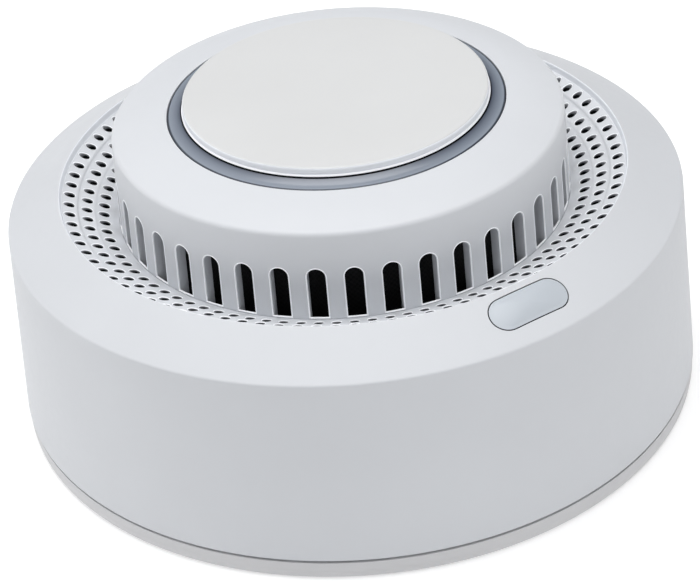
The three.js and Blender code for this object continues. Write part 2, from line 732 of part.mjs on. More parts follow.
// ---------------------------------------------------------------- turret
function turretShell() {
  const lean = (TURRET_FOOT_RADIUS - TURRET_EDGE_RADIUS) / (TURRET_EDGE_HEIGHT - TURRET_FOOT_HEIGHT);
  const innerEdge = TURRET_EDGE_RADIUS - TURRET_WALL;
  const shoulderHeight = TURRET_EDGE_HEIGHT + TURRET_BEVEL_HEIGHT;
  const facets = 2 * SLOT_COUNT;
  const pitch = 360 / SLOT_COUNT;
  const shell = turned(
    [
      [TURRET_FOOT_RADIUS, TURRET_BOTTOM],
      [TURRET_FOOT_RADIUS, TURRET_FOOT_HEIGHT],
      [TURRET_EDGE_RADIUS, TURRET_EDGE_HEIGHT],
      [TURRET_EDGE_RADIUS - TURRET_BEVEL_RADIAL, shoulderHeight],
      [DOME_MIDDLE_RADIUS, DOME_MIDDLE_HEIGHT],
      [COLLAR_RADIUS, COLLAR_HEIGHT],
      [COLLAR_RADIUS, COLLAR_BOTTOM],
      [COLLAR_RADIUS + COLLAR_WALL, COLLAR_BOTTOM],
      [COLLAR_RADIUS + COLLAR_WALL, COLLAR_HEIGHT - TURRET_ROOF],
      [innerEdge, shoulderHeight - TURRET_ROOF],
      [innerEdge + lean * (TURRET_EDGE_HEIGHT - TURRET_BOTTOM), TURRET_BOTTOM],
    ],
    facets,
    SLOT_PHASE - pitch / 4,
  );
  const arch = slotArch();
  const slots = [];
  for (let i = 0; i < SLOT_COUNT; i += 1) {
    slots.push(aroundZ(arch.clone(), SLOT_PHASE + i * pitch));
  }
  return cut(shell, ...slots);
}

// the outline of one air slot, flat below and round above, pushed through the wall along +X
function slotArch() {
  const half = SLOT_WIDTH / 2;
  const spring = SLOT_TOP - half;
  const shape = new THREE.Shape();
  shape.moveTo(-half, SLOT_BOTTOM);
  shape.lineTo(half, SLOT_BOTTOM);
  const steps = 3;
  for (let i = 0; i <= steps; i += 1) {
    const angle = (Math.PI * i) / steps;
    shape.lineTo(half * Math.cos(angle), spring + half * Math.sin(angle));
  }
  shape.closePath();
  const depth = 2 * TURRET_WALL;
  const geometry = new THREE.ExtrudeGeometry(shape, { depth, bevelEnabled: false });
  // the outline's X and Y become the alarm's Y and Z
  geometry.rotateX(Math.PI / 2).rotateZ(Math.PI / 2);
  geometry.translate(TURRET_FOOT_RADIUS - 1.5 * TURRET_WALL, 0, 0);
  return slopeSill(geometry);
}

// lowers the sill of a slot in proportion to its depth in the wall
function slopeSill(geometry) {
  const corners = geometry.attributes.position;
  for (let i = 0; i < corners.count; i += 1) {
    const depth = TURRET_FOOT_RADIUS - corners.getX(i);
    if (corners.getZ(i) < SLOT_BOTTOM + 0.01) {
      corners.setZ(i, SLOT_BOTTOM - (SLOT_SILL_DROP * depth) / TURRET_WALL);
    }
  }
  return geometry;
}
addPiece("turret_shell", turretShell(), WHITE);

// ---------------------------------------------------------------- light ring and test button
const lightRing = turned([
  [LIGHT_INNER_RADIUS, LIGHT_BOTTOM],
  [LIGHT_OUTER_RADIUS, LIGHT_BOTTOM],
  [LIGHT_OUTER_RADIUS, LIGHT_OUTER_HEIGHT],
  [LIGHT_INNER_RADIUS, LIGHT_INNER_HEIGHT],
]);
addPiece("light_ring", lightRing, LIGHT_GUIDE);

function testButton() {
  const skirtInner = BUTTON_RADIUS - BUTTON_SKIRT_WALL;
  const cap = turned([
    [0, BUTTON_CROWN],
    [BUTTON_RADIUS - BUTTON_BEVEL, BUTTON_CROWN - BUTTON_CAMBER],
    [BUTTON_RADIUS, BUTTON_RIM_TOP],
    [BUTTON_RADIUS, BUTTON_SKIRT_BOTTOM],
    [skirtInner, BUTTON_SKIRT_BOTTOM],
    [skirtInner, BUTTON_UNDERSIDE],
    [BUTTON_STEM_RADIUS, BUTTON_UNDERSIDE],
    [BUTTON_STEM_RADIUS, BUTTON_STEM_BOTTOM],
    [0, BUTTON_STEM_BOTTOM],
  ]);
  const half = CLIP_WIDTH / 2;
  const clips = CLIP_ANGLES.map((azimuth) => {
    const leg = box(CLIP_INNER, -half, CLIP_BOTTOM, CLIP_OUTER, half, BUTTON_UNDERSIDE + OVERLAP);
    const hook = box(CLIP_INNER, -half, CLIP_BOTTOM, CLIP_OUTER + CLIP_CATCH, half, CLIP_HOOK_TOP);
    return aroundZ(join(leg, hook), azimuth);
  });
  return join(cap, ...clips);
}
addPiece("test_button", testButton(), WHITE);

// ---------------------------------------------------------------- top board, its lamps and switch
function topBoard() {
  const disc = cylinder(TOP_BOARD_RADIUS, TOP_BOARD_BOTTOM, TOP_BOARD_TOP, ROUND_FACETS);
  const half = CLIP_WIDTH / 2 + GAP;
  const slots = CLIP_ANGLES.map((azimuth) => {
    const from = CLIP_INNER - GAP;
    const to = CLIP_OUTER + GAP;
    const slot = box(from, -half, TOP_BOARD_BOTTOM - 1, to, half, TOP_BOARD_TOP + 1);
    return aroundZ(slot, azimuth);
  });
  return cut(disc, ...slots);
}
addPiece("top_board", topBoard(), BOARD_GREEN);

function lampBody() {
  const across = LED_WIDTH / 2;
  const along = LED_LENGTH / 2;
  return box(-across, -along, 0, across, along, LED_HEIGHT);
}
for (let i = 0; i < LED_COUNT; i += 1) {
  const lamp = addPiece("ring_led_" + (i + 1), lampBody(), LED_WHITE);
  const angle = radians(LED_PHASE + (360 / LED_COUNT) * i);
  lamp.position.set(LED_CIRCLE * Math.cos(angle), LED_CIRCLE * Math.sin(angle), TOP_BOARD_TOP + SEAT);
  lamp.rotation.z = angle;
}

function switchBody(size, bottom, top, holeRadius, holeBottom) {
  const half = size / 2;
  const body = box(-half, -half, bottom, half, half, top);
  return cut(body, cylinder(holeRadius, holeBottom, top + 1));
}
const testSwitch = switchBody(
  TEST_SWITCH_SIZE,
  TOP_BOARD_TOP + SEAT,
  TEST_SWITCH_TOP,
  TEST_PLUNGER_RADIUS + GAP,
  TOP_BOARD_TOP + SEAT + SWITCH_FLOOR,
);
addPiece("test_switch", testSwitch, CHIP_BLACK);
const testPlunger = cylinder(TEST_PLUNGER_RADIUS, TEST_PLUNGER_BOTTOM, TEST_PLUNGER_TOP);
addPiece("test_switch_plunger", testPlunger, LED_WHITE);

// a flat cable from the main board, up beside the chamber and in under the top board
function boardLink() {
  const outside = LINK_OUTSIDE;
  const inside = LINK_INSIDE;
  const shelf = CHAMBER_LID_TOP + LINK_CLEARANCE;
  const thickness = LINK_THICKNESS;
  const shape = new THREE.Shape();
  shape.moveTo(outside, MAIN_BOARD_TOP + SEAT);
  shape.lineTo(outside, shelf + thickness);
  shape.lineTo(inside + thickness, shelf + thickness);
  shape.lineTo(inside + thickness, TOP_BOARD_BOTTOM - SEAT);
  shape.lineTo(inside, TOP_BOARD_BOTTOM - SEAT);
  shape.lineTo(inside, shelf);
  shape.lineTo(outside - thickness, shelf);
  shape.lineTo(outside - thickness, MAIN_BOARD_TOP + SEAT);
  shape.closePath();
  const geometry = new THREE.ExtrudeGeometry(shape, { depth: LINK_WIDTH, bevelEnabled: false });
  geometry.translate(0, 0, -LINK_WIDTH / 2).rotateX(Math.PI / 2);
  return aroundZ(geometry, LINK_AZIMUTH);
}
addPiece("board_link", boardLink(), BRACKET_GREY);

// ---------------------------------------------------------------- main board and what sits on it
function mainBoard() {
  const disc = cylinder(MAIN_BOARD_RADIUS, MAIN_BOARD_BOTTOM, MAIN_BOARD_TOP, ROUND_FACETS);
  const notches = BOSS_ANGLES.map((azimuth) => {
    const notch = cylinder(BOSS_NECK_RADIUS + GAP, MAIN_BOARD_BOTTOM - 1, MAIN_BOARD_TOP + 1);
    return aroundZ(notch.translate(BOSS_CIRCLE, 0, 0), azimuth);
  });
  const port = cylinder(PORT_RADIUS, MAIN_BOARD_BOTTOM - 1, MAIN_BOARD_TOP + 1, PORT_FACETS);
  return cut(disc, port.translate(0, PORT_Y, 0), ...notches);
}
addPiece("main_board", mainBoard(), BOARD_GREEN);

function chipBody() {
  const half = CHIP_SIZE / 2;
  return box(-half, -half, 0, half, half, CHIP_HEIGHT);
}
const chip = addPiece("controller_chip", chipBody(), CHIP_BLACK);
chip.position.set(...CHIP_PLACE, MAIN_BOARD_TOP + SEAT);
const coil = addPiece("sounder_coil", cylinder(COIL_RADIUS, 0, COIL_HEIGHT), CHIP_BLACK);
coil.position.set(...COIL_PLACE, MAIN_BOARD_TOP + SEAT);

// ---------------------------------------------------------------- sounder
function sounderHousing() {
  const inner = SOUNDER_RADIUS - SOUNDER_WALL;
  return turned(
    [
      [0, SOUNDER_BOTTOM],
      [SOUNDER_RADIUS, SOUNDER_BOTTOM],
      [SOUNDER_RADIUS, SOUNDER_TOP],
      [inner, SOUNDER_TOP],
      [inner, SOUNDER_LEDGE],
      [inner - SOUNDER_SEAT_WIDTH, SOUNDER_LEDGE],
      [inner - SOUNDER_SEAT_WIDTH, SOUNDER_BOTTOM + SOUNDER_WALL],
      [0, SOUNDER_BOTTOM + SOUNDER_WALL],
    ],
    SOUNDER_FACETS,
  );
}
const sounder = new THREE.Group();
sounder.position.y = SOUNDER_Y;
alarm.add(sounder);
addPiece("sounder_housing", sounderHousing(), BLACK, sounder);

const discRadius = SOUNDER_RADIUS - SOUNDER_WALL - GAP;
const discBottom = SOUNDER_LEDGE + SEAT;
const disc = cylinder(discRadius, discBottom, discBottom + SOUNDER_DISC_THICKNESS, SOUNDER_FACETS);
addPiece("sounder_disc", disc, BRASS, sounder);

function sounderCap() {
  const lidTop = SOUNDER_TOP + SOUNDER_LID_THICKNESS;
  const lid = cylinder(SOUNDER_RADIUS, SOUNDER_TOP + SEAT, lidTop, SOUNDER_FACETS);
  const port = cylinder(PORT_RADIUS, SOUNDER_TOP - 1, lidTop + 1, PORT_FACETS);
  return cut(lid, port.translate(0, PORT_Y - SOUNDER_Y, 0));
}
addPiece("sounder_cap", sounderCap(), BLACK, sounder);

// ---------------------------------------------------------------- optical chamber
// the socket of a lamp or sensor that looks at the middle of the chamber
function opticSocket(azimuth) {
  const block = box(
    OPTIC_CIRCLE - SOCKET_HALF_WIDTH,
    -SOCKET_HALF_WIDTH,
    CHAMBER_BASE_TOP - OVERLAP,
    OPTIC_CIRCLE + SOCKET_BACK,
    SOCKET_HALF_WIDTH,
    OPTIC_HEIGHT + SOCKET_HALF_WIDTH,
  );
  const bore = cylinder(LAMP_RADIUS + GAP, -SOCKET_BACK - 1, SOCKET_BACK + 1);
  bore.rotateY(Math.PI / 2).translate(OPTIC_CIRCLE, 0, OPTIC_HEIGHT);
  return aroundZ(cut(block, bore), azimuth);
}

function chamberBase() {
  const bottom = MAIN_BOARD_TOP + GAP;
  const plate = cylinder(CHAMBER_BASE_RADIUS, bottom, CHAMBER_BASE_TOP, ROUND_FACETS);
  return join(plate, opticSocket(EMITTER_ANGLE), opticSocket(PHOTODIODE_ANGLE));
}
addPiece("chamber_base", chamberBase(), BLACK);

// a lamp body: a domed cylinder along +X, looking back at the centre
function opticLamp() {
  const body = turned(
    [
      [0, -LAMP_TIP],
      [LAMP_RADIUS * 0.72, -LAMP_TIP * 0.82],
      [LAMP_RADIUS, -LAMP_TIP * 0.43],
      [LAMP_RADIUS, LAMP_BACK],
      [0, LAMP_BACK],
    ],
    SMALL_FACETS,
  );
  return body.rotateY(Math.PI / 2);
}

function addOptic(name, azimuth, material) {
  const lamp = addPiece(name, opticLamp(), material);
  const angle = radians(azimuth);
  lamp.position.set(OPTIC_CIRCLE * Math.cos(angle), OPTIC_CIRCLE * Math.sin(angle), OPTIC_HEIGHT);
  lamp.rotation.z = angle;
}
addOptic("infrared_emitter", EMITTER_ANGLE, LED_WHITE);
addOptic("photodiode", PHOTODIODE_ANGLE, CHIP_BLACK);

function chamberCover() {
  const lid = cylinder(CHAMBER_LID_RADIUS, CHAMBER_LID_BOTTOM, CHAMBER_LID_TOP, ROUND_FACETS);
  const vaneBottom = CHAMBER_BASE_TOP + GAP;
  const pieces = [lid];
  for (let i = 0; i < VANE_COUNT; i += 1) {
    const half = VANE_LENGTH / 2;
    const thin = VANE_THICKNESS / 2;
    const vane = box(-half, -thin, vaneBottom, half, thin, CHAMBER_LID_BOTTOM + OVERLAP);
    vane.rotateZ(radians(VANE_TWIST)).translate(VANE_CIRCLE, 0, 0);
    pieces.push(aroundZ(vane, (360 / VANE_COUNT) * i));
  }
  for (const azimuth of LID_POST_ANGLES) {
    const postBottom = CHAMBER_LID_TOP - OVERLAP;
    const post = cylinder(LID_POST_RADIUS, postBottom, TOP_BOARD_BOTTOM - SEAT, PIN_FACETS);
    pieces.push(aroundZ(post.translate(LID_POST_CIRCLE, 0, 0), azimuth));
  }
  return join(...pieces);
}
addPiece("chamber_cover", chamberCover(), BLACK);

const screenBottom = CHAMBER_BASE_TOP + SEAT;
const insectScreen = turned([
  [SCREEN_INNER, screenBottom],
  [SCREEN_OUTER, screenBottom],
  [SCREEN_OUTER, SCREEN_TOP],
  [SCREEN_INNER, SCREEN_TOP],
]);
addPiece("insect_screen", insectScreen, SCREEN_METAL);

// ---------------------------------------------------------------- hush button and its switch
function hushButton() {
  return join(
    stadium(HUSH_LENGTH, HUSH_WIDTH, HUSH_FLANGE_TOP - OVERLAP, 0),
    stadium(HUSH_LENGTH + 2 * HUSH_FLANGE, HUSH_WIDTH, HUSH_FLANGE_BOTTOM, HUSH_FLANGE_TOP),
    cylinder(HUSH_STEM_RADIUS, HUSH_STEM_BOTTOM, HUSH_FLANGE_BOTTOM + OVERLAP, PIN_FACETS),
  );
}
addPiece("hush_button", hushButton(), HUSH_GREY, hushFrame);

const hushPlunger = cylinder(HUSH_PLUNGER_RADIUS, HUSH_PLUNGER_BOTTOM, HUSH_PLUNGER_TOP, PIN_FACETS);
addPiece("hush_switch_plunger", hushPlunger, LED_WHITE, hushFrame);
const hushSwitch = switchBody(
  HUSH_SWITCH_SIZE,
  HUSH_SWITCH_BOTTOM,
  HUSH_SWITCH_TOP,
  HUSH_PLUNGER_RADIUS + GAP,
  HUSH_SWITCH_BOTTOM + SWITCH_FLOOR,
);
addPiece("hush_switch", hushSwitch, CHIP_BLACK, hushFrame);
const hushBoard = box(
  -HUSH_BOARD_LENGTH / 2,
  -HUSH_BOARD_WIDTH / 2,
  HUSH_BOARD_BOTTOM,
  HUSH_BOARD_LENGTH / 2,
  HUSH_BOARD_WIDTH / 2,
  HUSH_BOARD_TOP,
);
addPiece("hush_board", hushBoard, BOARD_GREEN, hushFrame);

export default alarm;
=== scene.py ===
"""Ceiling smoke alarm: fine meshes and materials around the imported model."""
import json
import math

import bmesh
import bpy
from mathutils import Matrix, Vector


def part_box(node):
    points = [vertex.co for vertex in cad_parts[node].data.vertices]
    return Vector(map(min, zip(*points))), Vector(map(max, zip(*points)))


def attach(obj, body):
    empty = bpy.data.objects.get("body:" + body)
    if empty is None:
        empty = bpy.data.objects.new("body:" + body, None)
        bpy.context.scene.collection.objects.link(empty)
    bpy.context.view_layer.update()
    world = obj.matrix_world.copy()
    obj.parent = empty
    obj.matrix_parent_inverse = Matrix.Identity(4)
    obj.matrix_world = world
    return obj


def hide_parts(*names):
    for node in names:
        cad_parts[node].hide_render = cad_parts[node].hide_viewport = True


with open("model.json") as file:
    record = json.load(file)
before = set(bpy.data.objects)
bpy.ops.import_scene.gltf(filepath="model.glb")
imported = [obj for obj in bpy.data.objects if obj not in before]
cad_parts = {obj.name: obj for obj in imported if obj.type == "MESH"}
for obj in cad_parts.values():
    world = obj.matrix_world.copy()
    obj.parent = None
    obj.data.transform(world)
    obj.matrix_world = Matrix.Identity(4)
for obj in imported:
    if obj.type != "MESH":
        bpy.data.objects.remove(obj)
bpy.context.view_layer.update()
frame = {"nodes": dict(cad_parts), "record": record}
scene = bpy.context.scene

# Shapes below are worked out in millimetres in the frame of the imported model, +Z up.
MM = 0.001
WELD_DISTANCE = 2e-7  # metres

# ---------------------------------------------------------------- camera
CAMERA_PLACE = (-0.00047, -0.3143, 0.22163)
CAMERA_ELEVATION = math.radians(33.52)
CAMERA_ROLL = math.radians(-5.254)
CAMERA_LENS = 132.54
SENSOR_WIDTH = 36


def make_camera():
    data = bpy.data.cameras.new("camera")
    data.sensor_width = SENSOR_WIDTH
    data.lens = CAMERA_LENS
    data.clip_start = 0.01
    camera = bpy.data.objects.new("camera", data)
    scene.collection.objects.link(camera)
    tilt = Matrix.Rotation(math.pi / 2 - CAMERA_ELEVATION, 4, "X")
    roll = Matrix.Rotation(CAMERA_ROLL, 4, "Z")
    camera.matrix_world = Matrix.Translation(CAMERA_PLACE) @ tilt @ roll
    scene.camera = camera


make_camera()


# ---------------------------------------------------------------- sizes taken from the frame
def size_of(node):
    """The lowest and highest corners of a node, in millimetres."""
    low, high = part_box(node)
    return [v / MM for v in low], [v / MM for v in high]


drum_low, drum_high = size_of("drum_shell")
FOOT_RADIUS = drum_high[0]
DRUM_BOTTOM = drum_low[2]
LIP_HEIGHT = drum_high[2]
turret_low, turret_high = size_of("turret_shell")
TURRET_BOTTOM = turret_low[2]
COLLAR_HEIGHT = turret_high[2]
button_low, button_high = size_of("test_button")
BUTTON_CROWN = button_high[2]
BUTTON_CLIP_BOTTOM = button_low[2]
light_low, light_high = size_of("light_ring")
LIGHT_BOTTOM = light_low[2]
LIGHT_TOP = light_high[2]

# ---------------------------------------------------------------- driving dimensions
# Pairs are (radius, height) unless a comment says otherwise.
# In outlines a third number is the rounding of that corner.
SEGMENTS = 288  # round a turned piece
SEAM = 0.04  # what is left to see where two mouldings meet

# drum
FOOT_INSET = 0.05
CREASE_RADIUS = 48
CREASE_HEIGHT = 30.8
PACKED_LIP_RADIUS = 40.2
LIP_RADIUS = 40.15
LEDGE_RADIUS = 39.4
LEDGE_TOP = 32.2
LEDGE_BOTTOM = 31.2
LEDGE_ROOT_RADIUS = 42.2
LEDGE_CHAMFER = 0.4
WALL = 2
INNER_CREASE = (CREASE_RADIUS - WALL + 0.1, CREASE_HEIGHT - 1.25)
SHOULDER_RINGS = 20
SHOULDER_FIRST_RING = 0.5  # from the crease
SHOULDER_RING_STEP = 0.35
LIP_BAND = 0.2  # the lip's painted highlight reaches this far outside it
LIP_BAND_RISE = 0.5  # and starts this far above the ledge

# screw posts inside the drum
BOSS_ANGLES = (84, 204, 324)
BOSS_CIRCLE = 43.3
BOSS_SEGMENTS = 32
BOSS_RADIUS = 4
BOSS_BOTTOM = 5.2
BOSS_STEP = 23.8
BOSS_NECK_RADIUS = 2.8
BOSS_TOP = 31
PILOT_RADIUS = 1.55
PILOT_END = 12.8
PILOT_TIP = 12.9

# perforated ring: three bands, each with one row of holes
BAND_EDGES = (32.22, 35.4, 37.8, 39.93)  # radii
BAND_SLOPE = 0.42
GRILLE_THICKNESS = 0.9
ROW_RADII = (34.27, 36.57, 38.97)
ROW_HEIGHTS = (31.27, 32.33, 33.55)
LAST_BAND = len(ROW_RADII) - 1
COLUMNS = 91
COLUMN_PHASE = 0.6
HOLE_SIDE = 6  # points along each side of a cell
HOLE_RADIAL = 0.55  # half sizes of a hole
HOLE_ROUND = 0.62
HOLE_BEVEL = 0.11
BEVEL_BEND = (0.4, 0.3)  # width and depth of the bevel's middle, as shares of the bevel
SCOOP_REACH = 0.4  # how far a hole's mouth runs on towards the rim
# from this depth down, a hole's wall is painted near-black shade
SCOOP_DEPTH = 0.4
SCOOP_BEND = (0.62, 0.6)  # half-way down the scoop: share of its reach still left, share of its depth
RISER_WIDTH = 0.16
RISER_SWELL = 0.01
RIM_RISE = 0.75  # outside the last band the ring curls up to the lip
RIM_STEPS = 6

# turret
TURRET_FOOT = (32.15, 30.2)
TURRET_EDGE = (31.75, 43.05)
TURRET_WALL = 1.7
TURRET_CORNER = (TURRET_EDGE[0] - 0.03, TURRET_EDGE[1] + 0.35)
TURRET_INNER_CORNER = (TURRET_EDGE[0] - TURRET_WALL, TURRET_EDGE[1] - 0.5)
DOME_KNEE = (27.4, 44.8)
CELL_BOTTOM = 30.42  # a cell is one slot with the wall round it
CELL_TOP = 38.9
SLOT_COUNT = 40
SLOT_PHASE = 270.45
SLOT_COUNTS = (6, 10, 12, 10)  # points along a slot's sill, side, arch and other side
SLOT_HALF_WIDTH = 1.24
SLOT_BOTTOM = 30.66
SLOT_TOP = 38.1
SLOT_BEVEL = 0.18
SLOT_LIP = ((0.8, -0.05), (0.4, -0.05), (0.1, 0.0), (0.0, 0.12))  # share of the bevel, depth
SILL_DROP = 2.4  # a slot's sill falls this far towards the inside
COLLAR_RADIUS = 23.74
COLLAR_BOTTOM = 43.2
COLLAR_WALL = 1.2
ROOF_THICKNESS = 1.4

# light ring
LIGHT_INNER_RADIUS = 21.72
LIGHT_OUTER_RADIUS = 23.66
LIGHT_OUTER_HEIGHT = 45.19
LIGHT_KNEE = (22.7, 45.3)

# test button
BUTTON_RADIUS = 21.6
BUTTON_DOME = ((7, 0.01), (14, 0.04))  # radius, and drop below the crown
BUTTON_DOME_DROP = 0.08
BUTTON_LIP_HEIGHT = 45.98
BUTTON_STEP = 0.18  # the button's upper wall stands in from its flange
BUTTON_STEP_TOP = BUTTON_LIP_HEIGHT + 0.25
BUTTON_STEP_EDGE = BUTTON_LIP_HEIGHT + 0.08
# heights of the thin painted highlight line round the side
BUTTON_HIGHLIGHT_LINE = (BUTTON_LIP_HEIGHT - 0.1, BUTTON_LIP_HEIGHT + 0.26)
BUTTON_SIDE = 0.12  # faces further in than this from the upper wall belong to the top
BUTTON_SHADE_LINE = 0.14  # the side is painted in shade up to this far above the light band
BUTTON_SKIRT_BOTTOM = 43.9
BUTTON_WALL = 1.2
BUTTON_UNDERSIDE = 45.4
STUD_RADIUS = 2.5
STUD_BOTTOM = 44.7
CLIP_ANGLES = (30, 150, 270)
CLIP_RADII = (18.8, 20)
CLIP_HALF_WIDTH = 2
CLIP_TOP = 45.42
CLIP_HOOK_RADII = (19.9, 21.1)
CLIP_HOOK_HEIGHT = 0.65

# hush button: a pill on the slope of the shoulder
HUSH_AZIMUTH = -58.6
HUSH_CIRCLE = 43.27
HUSH_LENGTH = 12.1
HUSH_WIDTH = 4.8
HUSH_CROWN = 0.4
HUSH_EDGE_DROP = 0.01
HUSH_RIM = -0.4  # growth at the start of the crown
HUSH_SIDES = ((0.0, -3.2), (0.0, -0.2), (-0.02, -0.08), (-0.07, -0.02), (-0.18, 0.0))  # growth, height
HUSH_SHADED_EDGES = 3  # the pill's walls and the start of its rounding are painted in shade
HUSH_CROWN_STEPS = 12
HUSH_GAP = 0.08
HUSH_HOLE = ((0.0, -9), (0.0, -0.03), (0.03, 0.0), (0.5, 0.4))  # growth past the gap, height
PILL_ARC_STEPS = 20
PILL_SIDE_STEPS = 12

# ceiling plate
PLATE_FLOOR = 1.6
PLATE_RIM = (46.6, 2.7)
PLATE_VISIBLE_RADIUS = 49.15
PLATE_TAPER = (0.25, 0.9)  # the foot draws in by this much over this height
ARC_STEPS = 12
SCREW_SLOT_ANGLES = (45, 135, 225, 315)
SCREW_SLOT_CIRCLE = 30
SCREW_SLOT_HALF_WIDTH = 1.95
SCREW_SLOT_HALF_ANGLE = 14
CUTTER_MARGIN = 1  # a cutter runs on past both faces
HOOK_ANGLES = (0, 120, 240)
HOOK_RADII = (38, 41)
HOOK_HALF_ANGLE = 3.6
HOOK_ROOT = 0.4  # how deep the post stands in the plate's floor
HOOK_TOP = 6.1
TONGUE_ANGLES = (3.2, 11.6)  # from the middle of the post
TONGUE_BOTTOM = 4.9


# ---------------------------------------------------------------- material helpers
def socket(node, name, value):
    """Sets the constant value of an input."""
    node.inputs[name].default_value = value


def new_material(name):
    """A material with its node tree and its main shader."""
    material = bpy.data.materials.new(name)
    material.use_nodes = True
    tree = material.node_tree
    shader = tree.nodes["Principled BSDF"]
    return material, tree, shader


def object_coordinates(tree):
    return tree.nodes.new("ShaderNodeTexCoord").outputs["Object"]


def noise(tree, scale, detail=3.0):
    """Noise in object space; scale is in cells per metre."""
    node = tree.nodes.new("ShaderNodeTexNoise")
    socket(node, "Scale", scale)
    socket(node, "Detail", detail)
    tree.links.new(object_coordinates(tree), node.inputs["Vector"])
    return node.outputs["Fac"]


def ramp(tree, factor, stops):
    """A colour ramp; stops are (position, colour)."""
    node = tree.nodes.new("ShaderNodeValToRGB")
    elements = node.color_ramp.elements
    while len(elements) < len(stops):
        elements.new(0.5)
    for element, (position, colour) in zip(elements, stops):
        element.position = position
        element.color = (*colour, 1)
    tree.links.new(factor, node.inputs["Fac"])
    return node.outputs["Color"]


def vary_colour(tree, shader, scale, dark, light):
    """A base colour that drifts between two tones."""
    tone = ramp(tree, noise(tree, scale), [(0.3, dark), (0.7, light)])
    tree.links.new(tone, shader.inputs["Base Color"])


def vary_roughness(tree, shader, scale, low, high, start=0.35):
    """A roughness that drifts between two values."""
    gloss = ramp(tree, noise(tree, scale), [(start, (low,) * 3), (1 - start, (high,) * 3)])
    tree.links.new(gloss, shader.inputs["Roughness"])


def bump(tree, shader, height, strength, distance):
    """A fine relief; distance is in metres."""
    node = tree.nodes.new("ShaderNodeBump")
    socket(node, "Strength", strength)
    socket(node, "Distance", distance)
    tree.links.new(height, node.inputs["Height"])
    tree.links.new(node.outputs["Normal"], shader.inputs["Normal"])


def distance_share(tree, near, far):
    """How far out a point lies between two distances from the Z axis, in metres: 0 to 1."""
    flat = tree.nodes.new("ShaderNodeVectorMath")
    flat.operation = "MULTIPLY"
    flat.inputs[1].default_value = (1, 1, 0)
    tree.links.new(object_coordinates(tree), flat.inputs[0])
    distance = tree.nodes.new("ShaderNodeVectorMath")
    distance.operation = "LENGTH"
    tree.links.new(flat.outputs["Vector"], distance.inputs[0])
    share = tree.nodes.new("ShaderNodeMapRange")
    socket(share, "From Min", near)
    socket(share, "From Max", far)
    tree.links.new(distance.outputs["Value"], share.inputs["Value"])
    return share.outputs["Result"]


def shade(colour, factor):
    """A colour made darker or lighter."""
    return tuple(min(1.0, c * factor) for c in colour)


# ---------------------------------------------------------------- materials
def moulded_plastic(name, colour, roughness, spread=0.04, specular=0.4):
    """Matte moulded plastic: a fine spark-eroded grain, and a faint drift of tone and gloss."""
    material, tree, shader = new_material(name)
    vary_colour(tree, shader, scale=60, dark=shade(colour, 0.985), light=shade(colour, 1.01))
    vary_roughness(tree, shader, scale=900, low=roughness - spread, high=roughness + spread)
    socket(shader, "Specular IOR Level", specular)
    grain = noise(tree, scale=9000, detail=2.0)
    bump(tree, shader, grain, strength=0.12, distance=0.00004)
    return material


def highlight_material(name, colour, glow):
    """Painted highlight for the narrow edges of slots and holes and for rims: a light colour with a glow,
    though the plastic is no lamp, so they look brighter than the faces.
    """
    material, tree, shader = new_material(name)
    vary_colour(tree, shader, scale=60, dark=shade(colour, 0.985), light=shade(colour, 1.01))
    socket(shader, "Roughness", 0.35)
    socket(shader, "Emission Color", (0.9, 0.93, 1, 1))
    socket(shader, "Emission Strength", glow)
    return material


def light_guide_material():
    """Smoky frosted plastic, glossier than the shell: its own tone, with painted shade beside the button,
    a painted reflection further out and a painted shadow line at the outer edge.
    """
    material, tree, shader = new_material("light_guide")
    # from the button outwards: painted shade, the smoky tone lightening to a painted reflection, then a
    # painted shadow line
    stops = [
        (0.0, (0.03, 0.035, 0.055)),
        (0.1, (0.1, 0.118, 0.155)),
        (0.3, (0.165, 0.19, 0.235)),
        (0.86, (0.27, 0.305, 0.36)),
        (0.91, (0.05, 0.06, 0.08)),
    ]
    share = distance_share(tree, LIGHT_INNER_RADIUS * MM, LIGHT_OUTER_RADIUS * MM)
    tree.links.new(ramp(tree, share, stops), shader.inputs["Base Color"])
    socket(shader, "Roughness", 0.32)
    socket(shader, "Specular IOR Level", 0.5)
    socket(shader, "Coat Weight", 0.25)
    socket(shader, "Coat Roughness", 0.15)
    frost = noise(tree, scale=6000, detail=2.0)
    bump(tree, shader, frost, strength=0.1, distance=0.00003)
    return material


def circuit_board_material():
    """Black solder mask over faint copper tracks."""
    material, tree, shader = new_material("circuit_board")
    tracks = tree.nodes.new("ShaderNodeTexVoronoi")
    tracks.feature = "DISTANCE_TO_EDGE"
    tracks.distance = "MANHATTAN"
    socket(tracks, "Scale", 220)
    tree.links.new(object_coordinates(tree), tracks.inputs["Vector"])
    stops = [(0.02, (0.02, 0.035, 0.028)), (0.08, (0.008, 0.014, 0.011))]
    mask = ramp(tree, tracks.outputs["Distance"], stops)
    tree.links.new(mask, shader.inputs["Base Color"])
    socket(shader, "Roughness", 0.4)
    bump(tree, shader, tracks.outputs["Distance"], strength=0.15, distance=0.00005)
    return material


def metal_material(name, colour, roughness):
    """Plain metal with a mottled tone and gloss."""
    material, tree, shader = new_material(name)
    vary_colour(tree, shader, scale=500, dark=shade(colour, 0.92), light=shade(colour, 1.05))
    socket(shader, "Metallic", 1.0)
    low, high = roughness * 0.8, roughness * 1.2
    vary_roughness(tree, shader, scale=2500, low=low, high=high, start=0.3)
    return material


def screen_material():
    """Blackened mesh: a fine chequer of wires and openings, raised and sunk."""
    material, tree, shader = new_material("screen_steel")
    checker = tree.nodes.new("ShaderNodeTexChecker")
    socket(checker, "Scale", 2600)
    socket(checker, "Color1", (0.004, 0.004, 0.005, 1))
    socket(checker, "Color2", (0.012, 0.012, 0.013, 1))
    tree.links.new(object_coordinates(tree), checker.inputs["Vector"])
    tree.links.new(checker.outputs["Color"], shader.inputs["Base Color"])
    socket(shader, "Metallic", 0.3)
    socket(shader, "Roughness", 0.7)
    bump(tree, shader, checker.outputs["Fac"], strength=0.4, distance=0.00008)
    return material


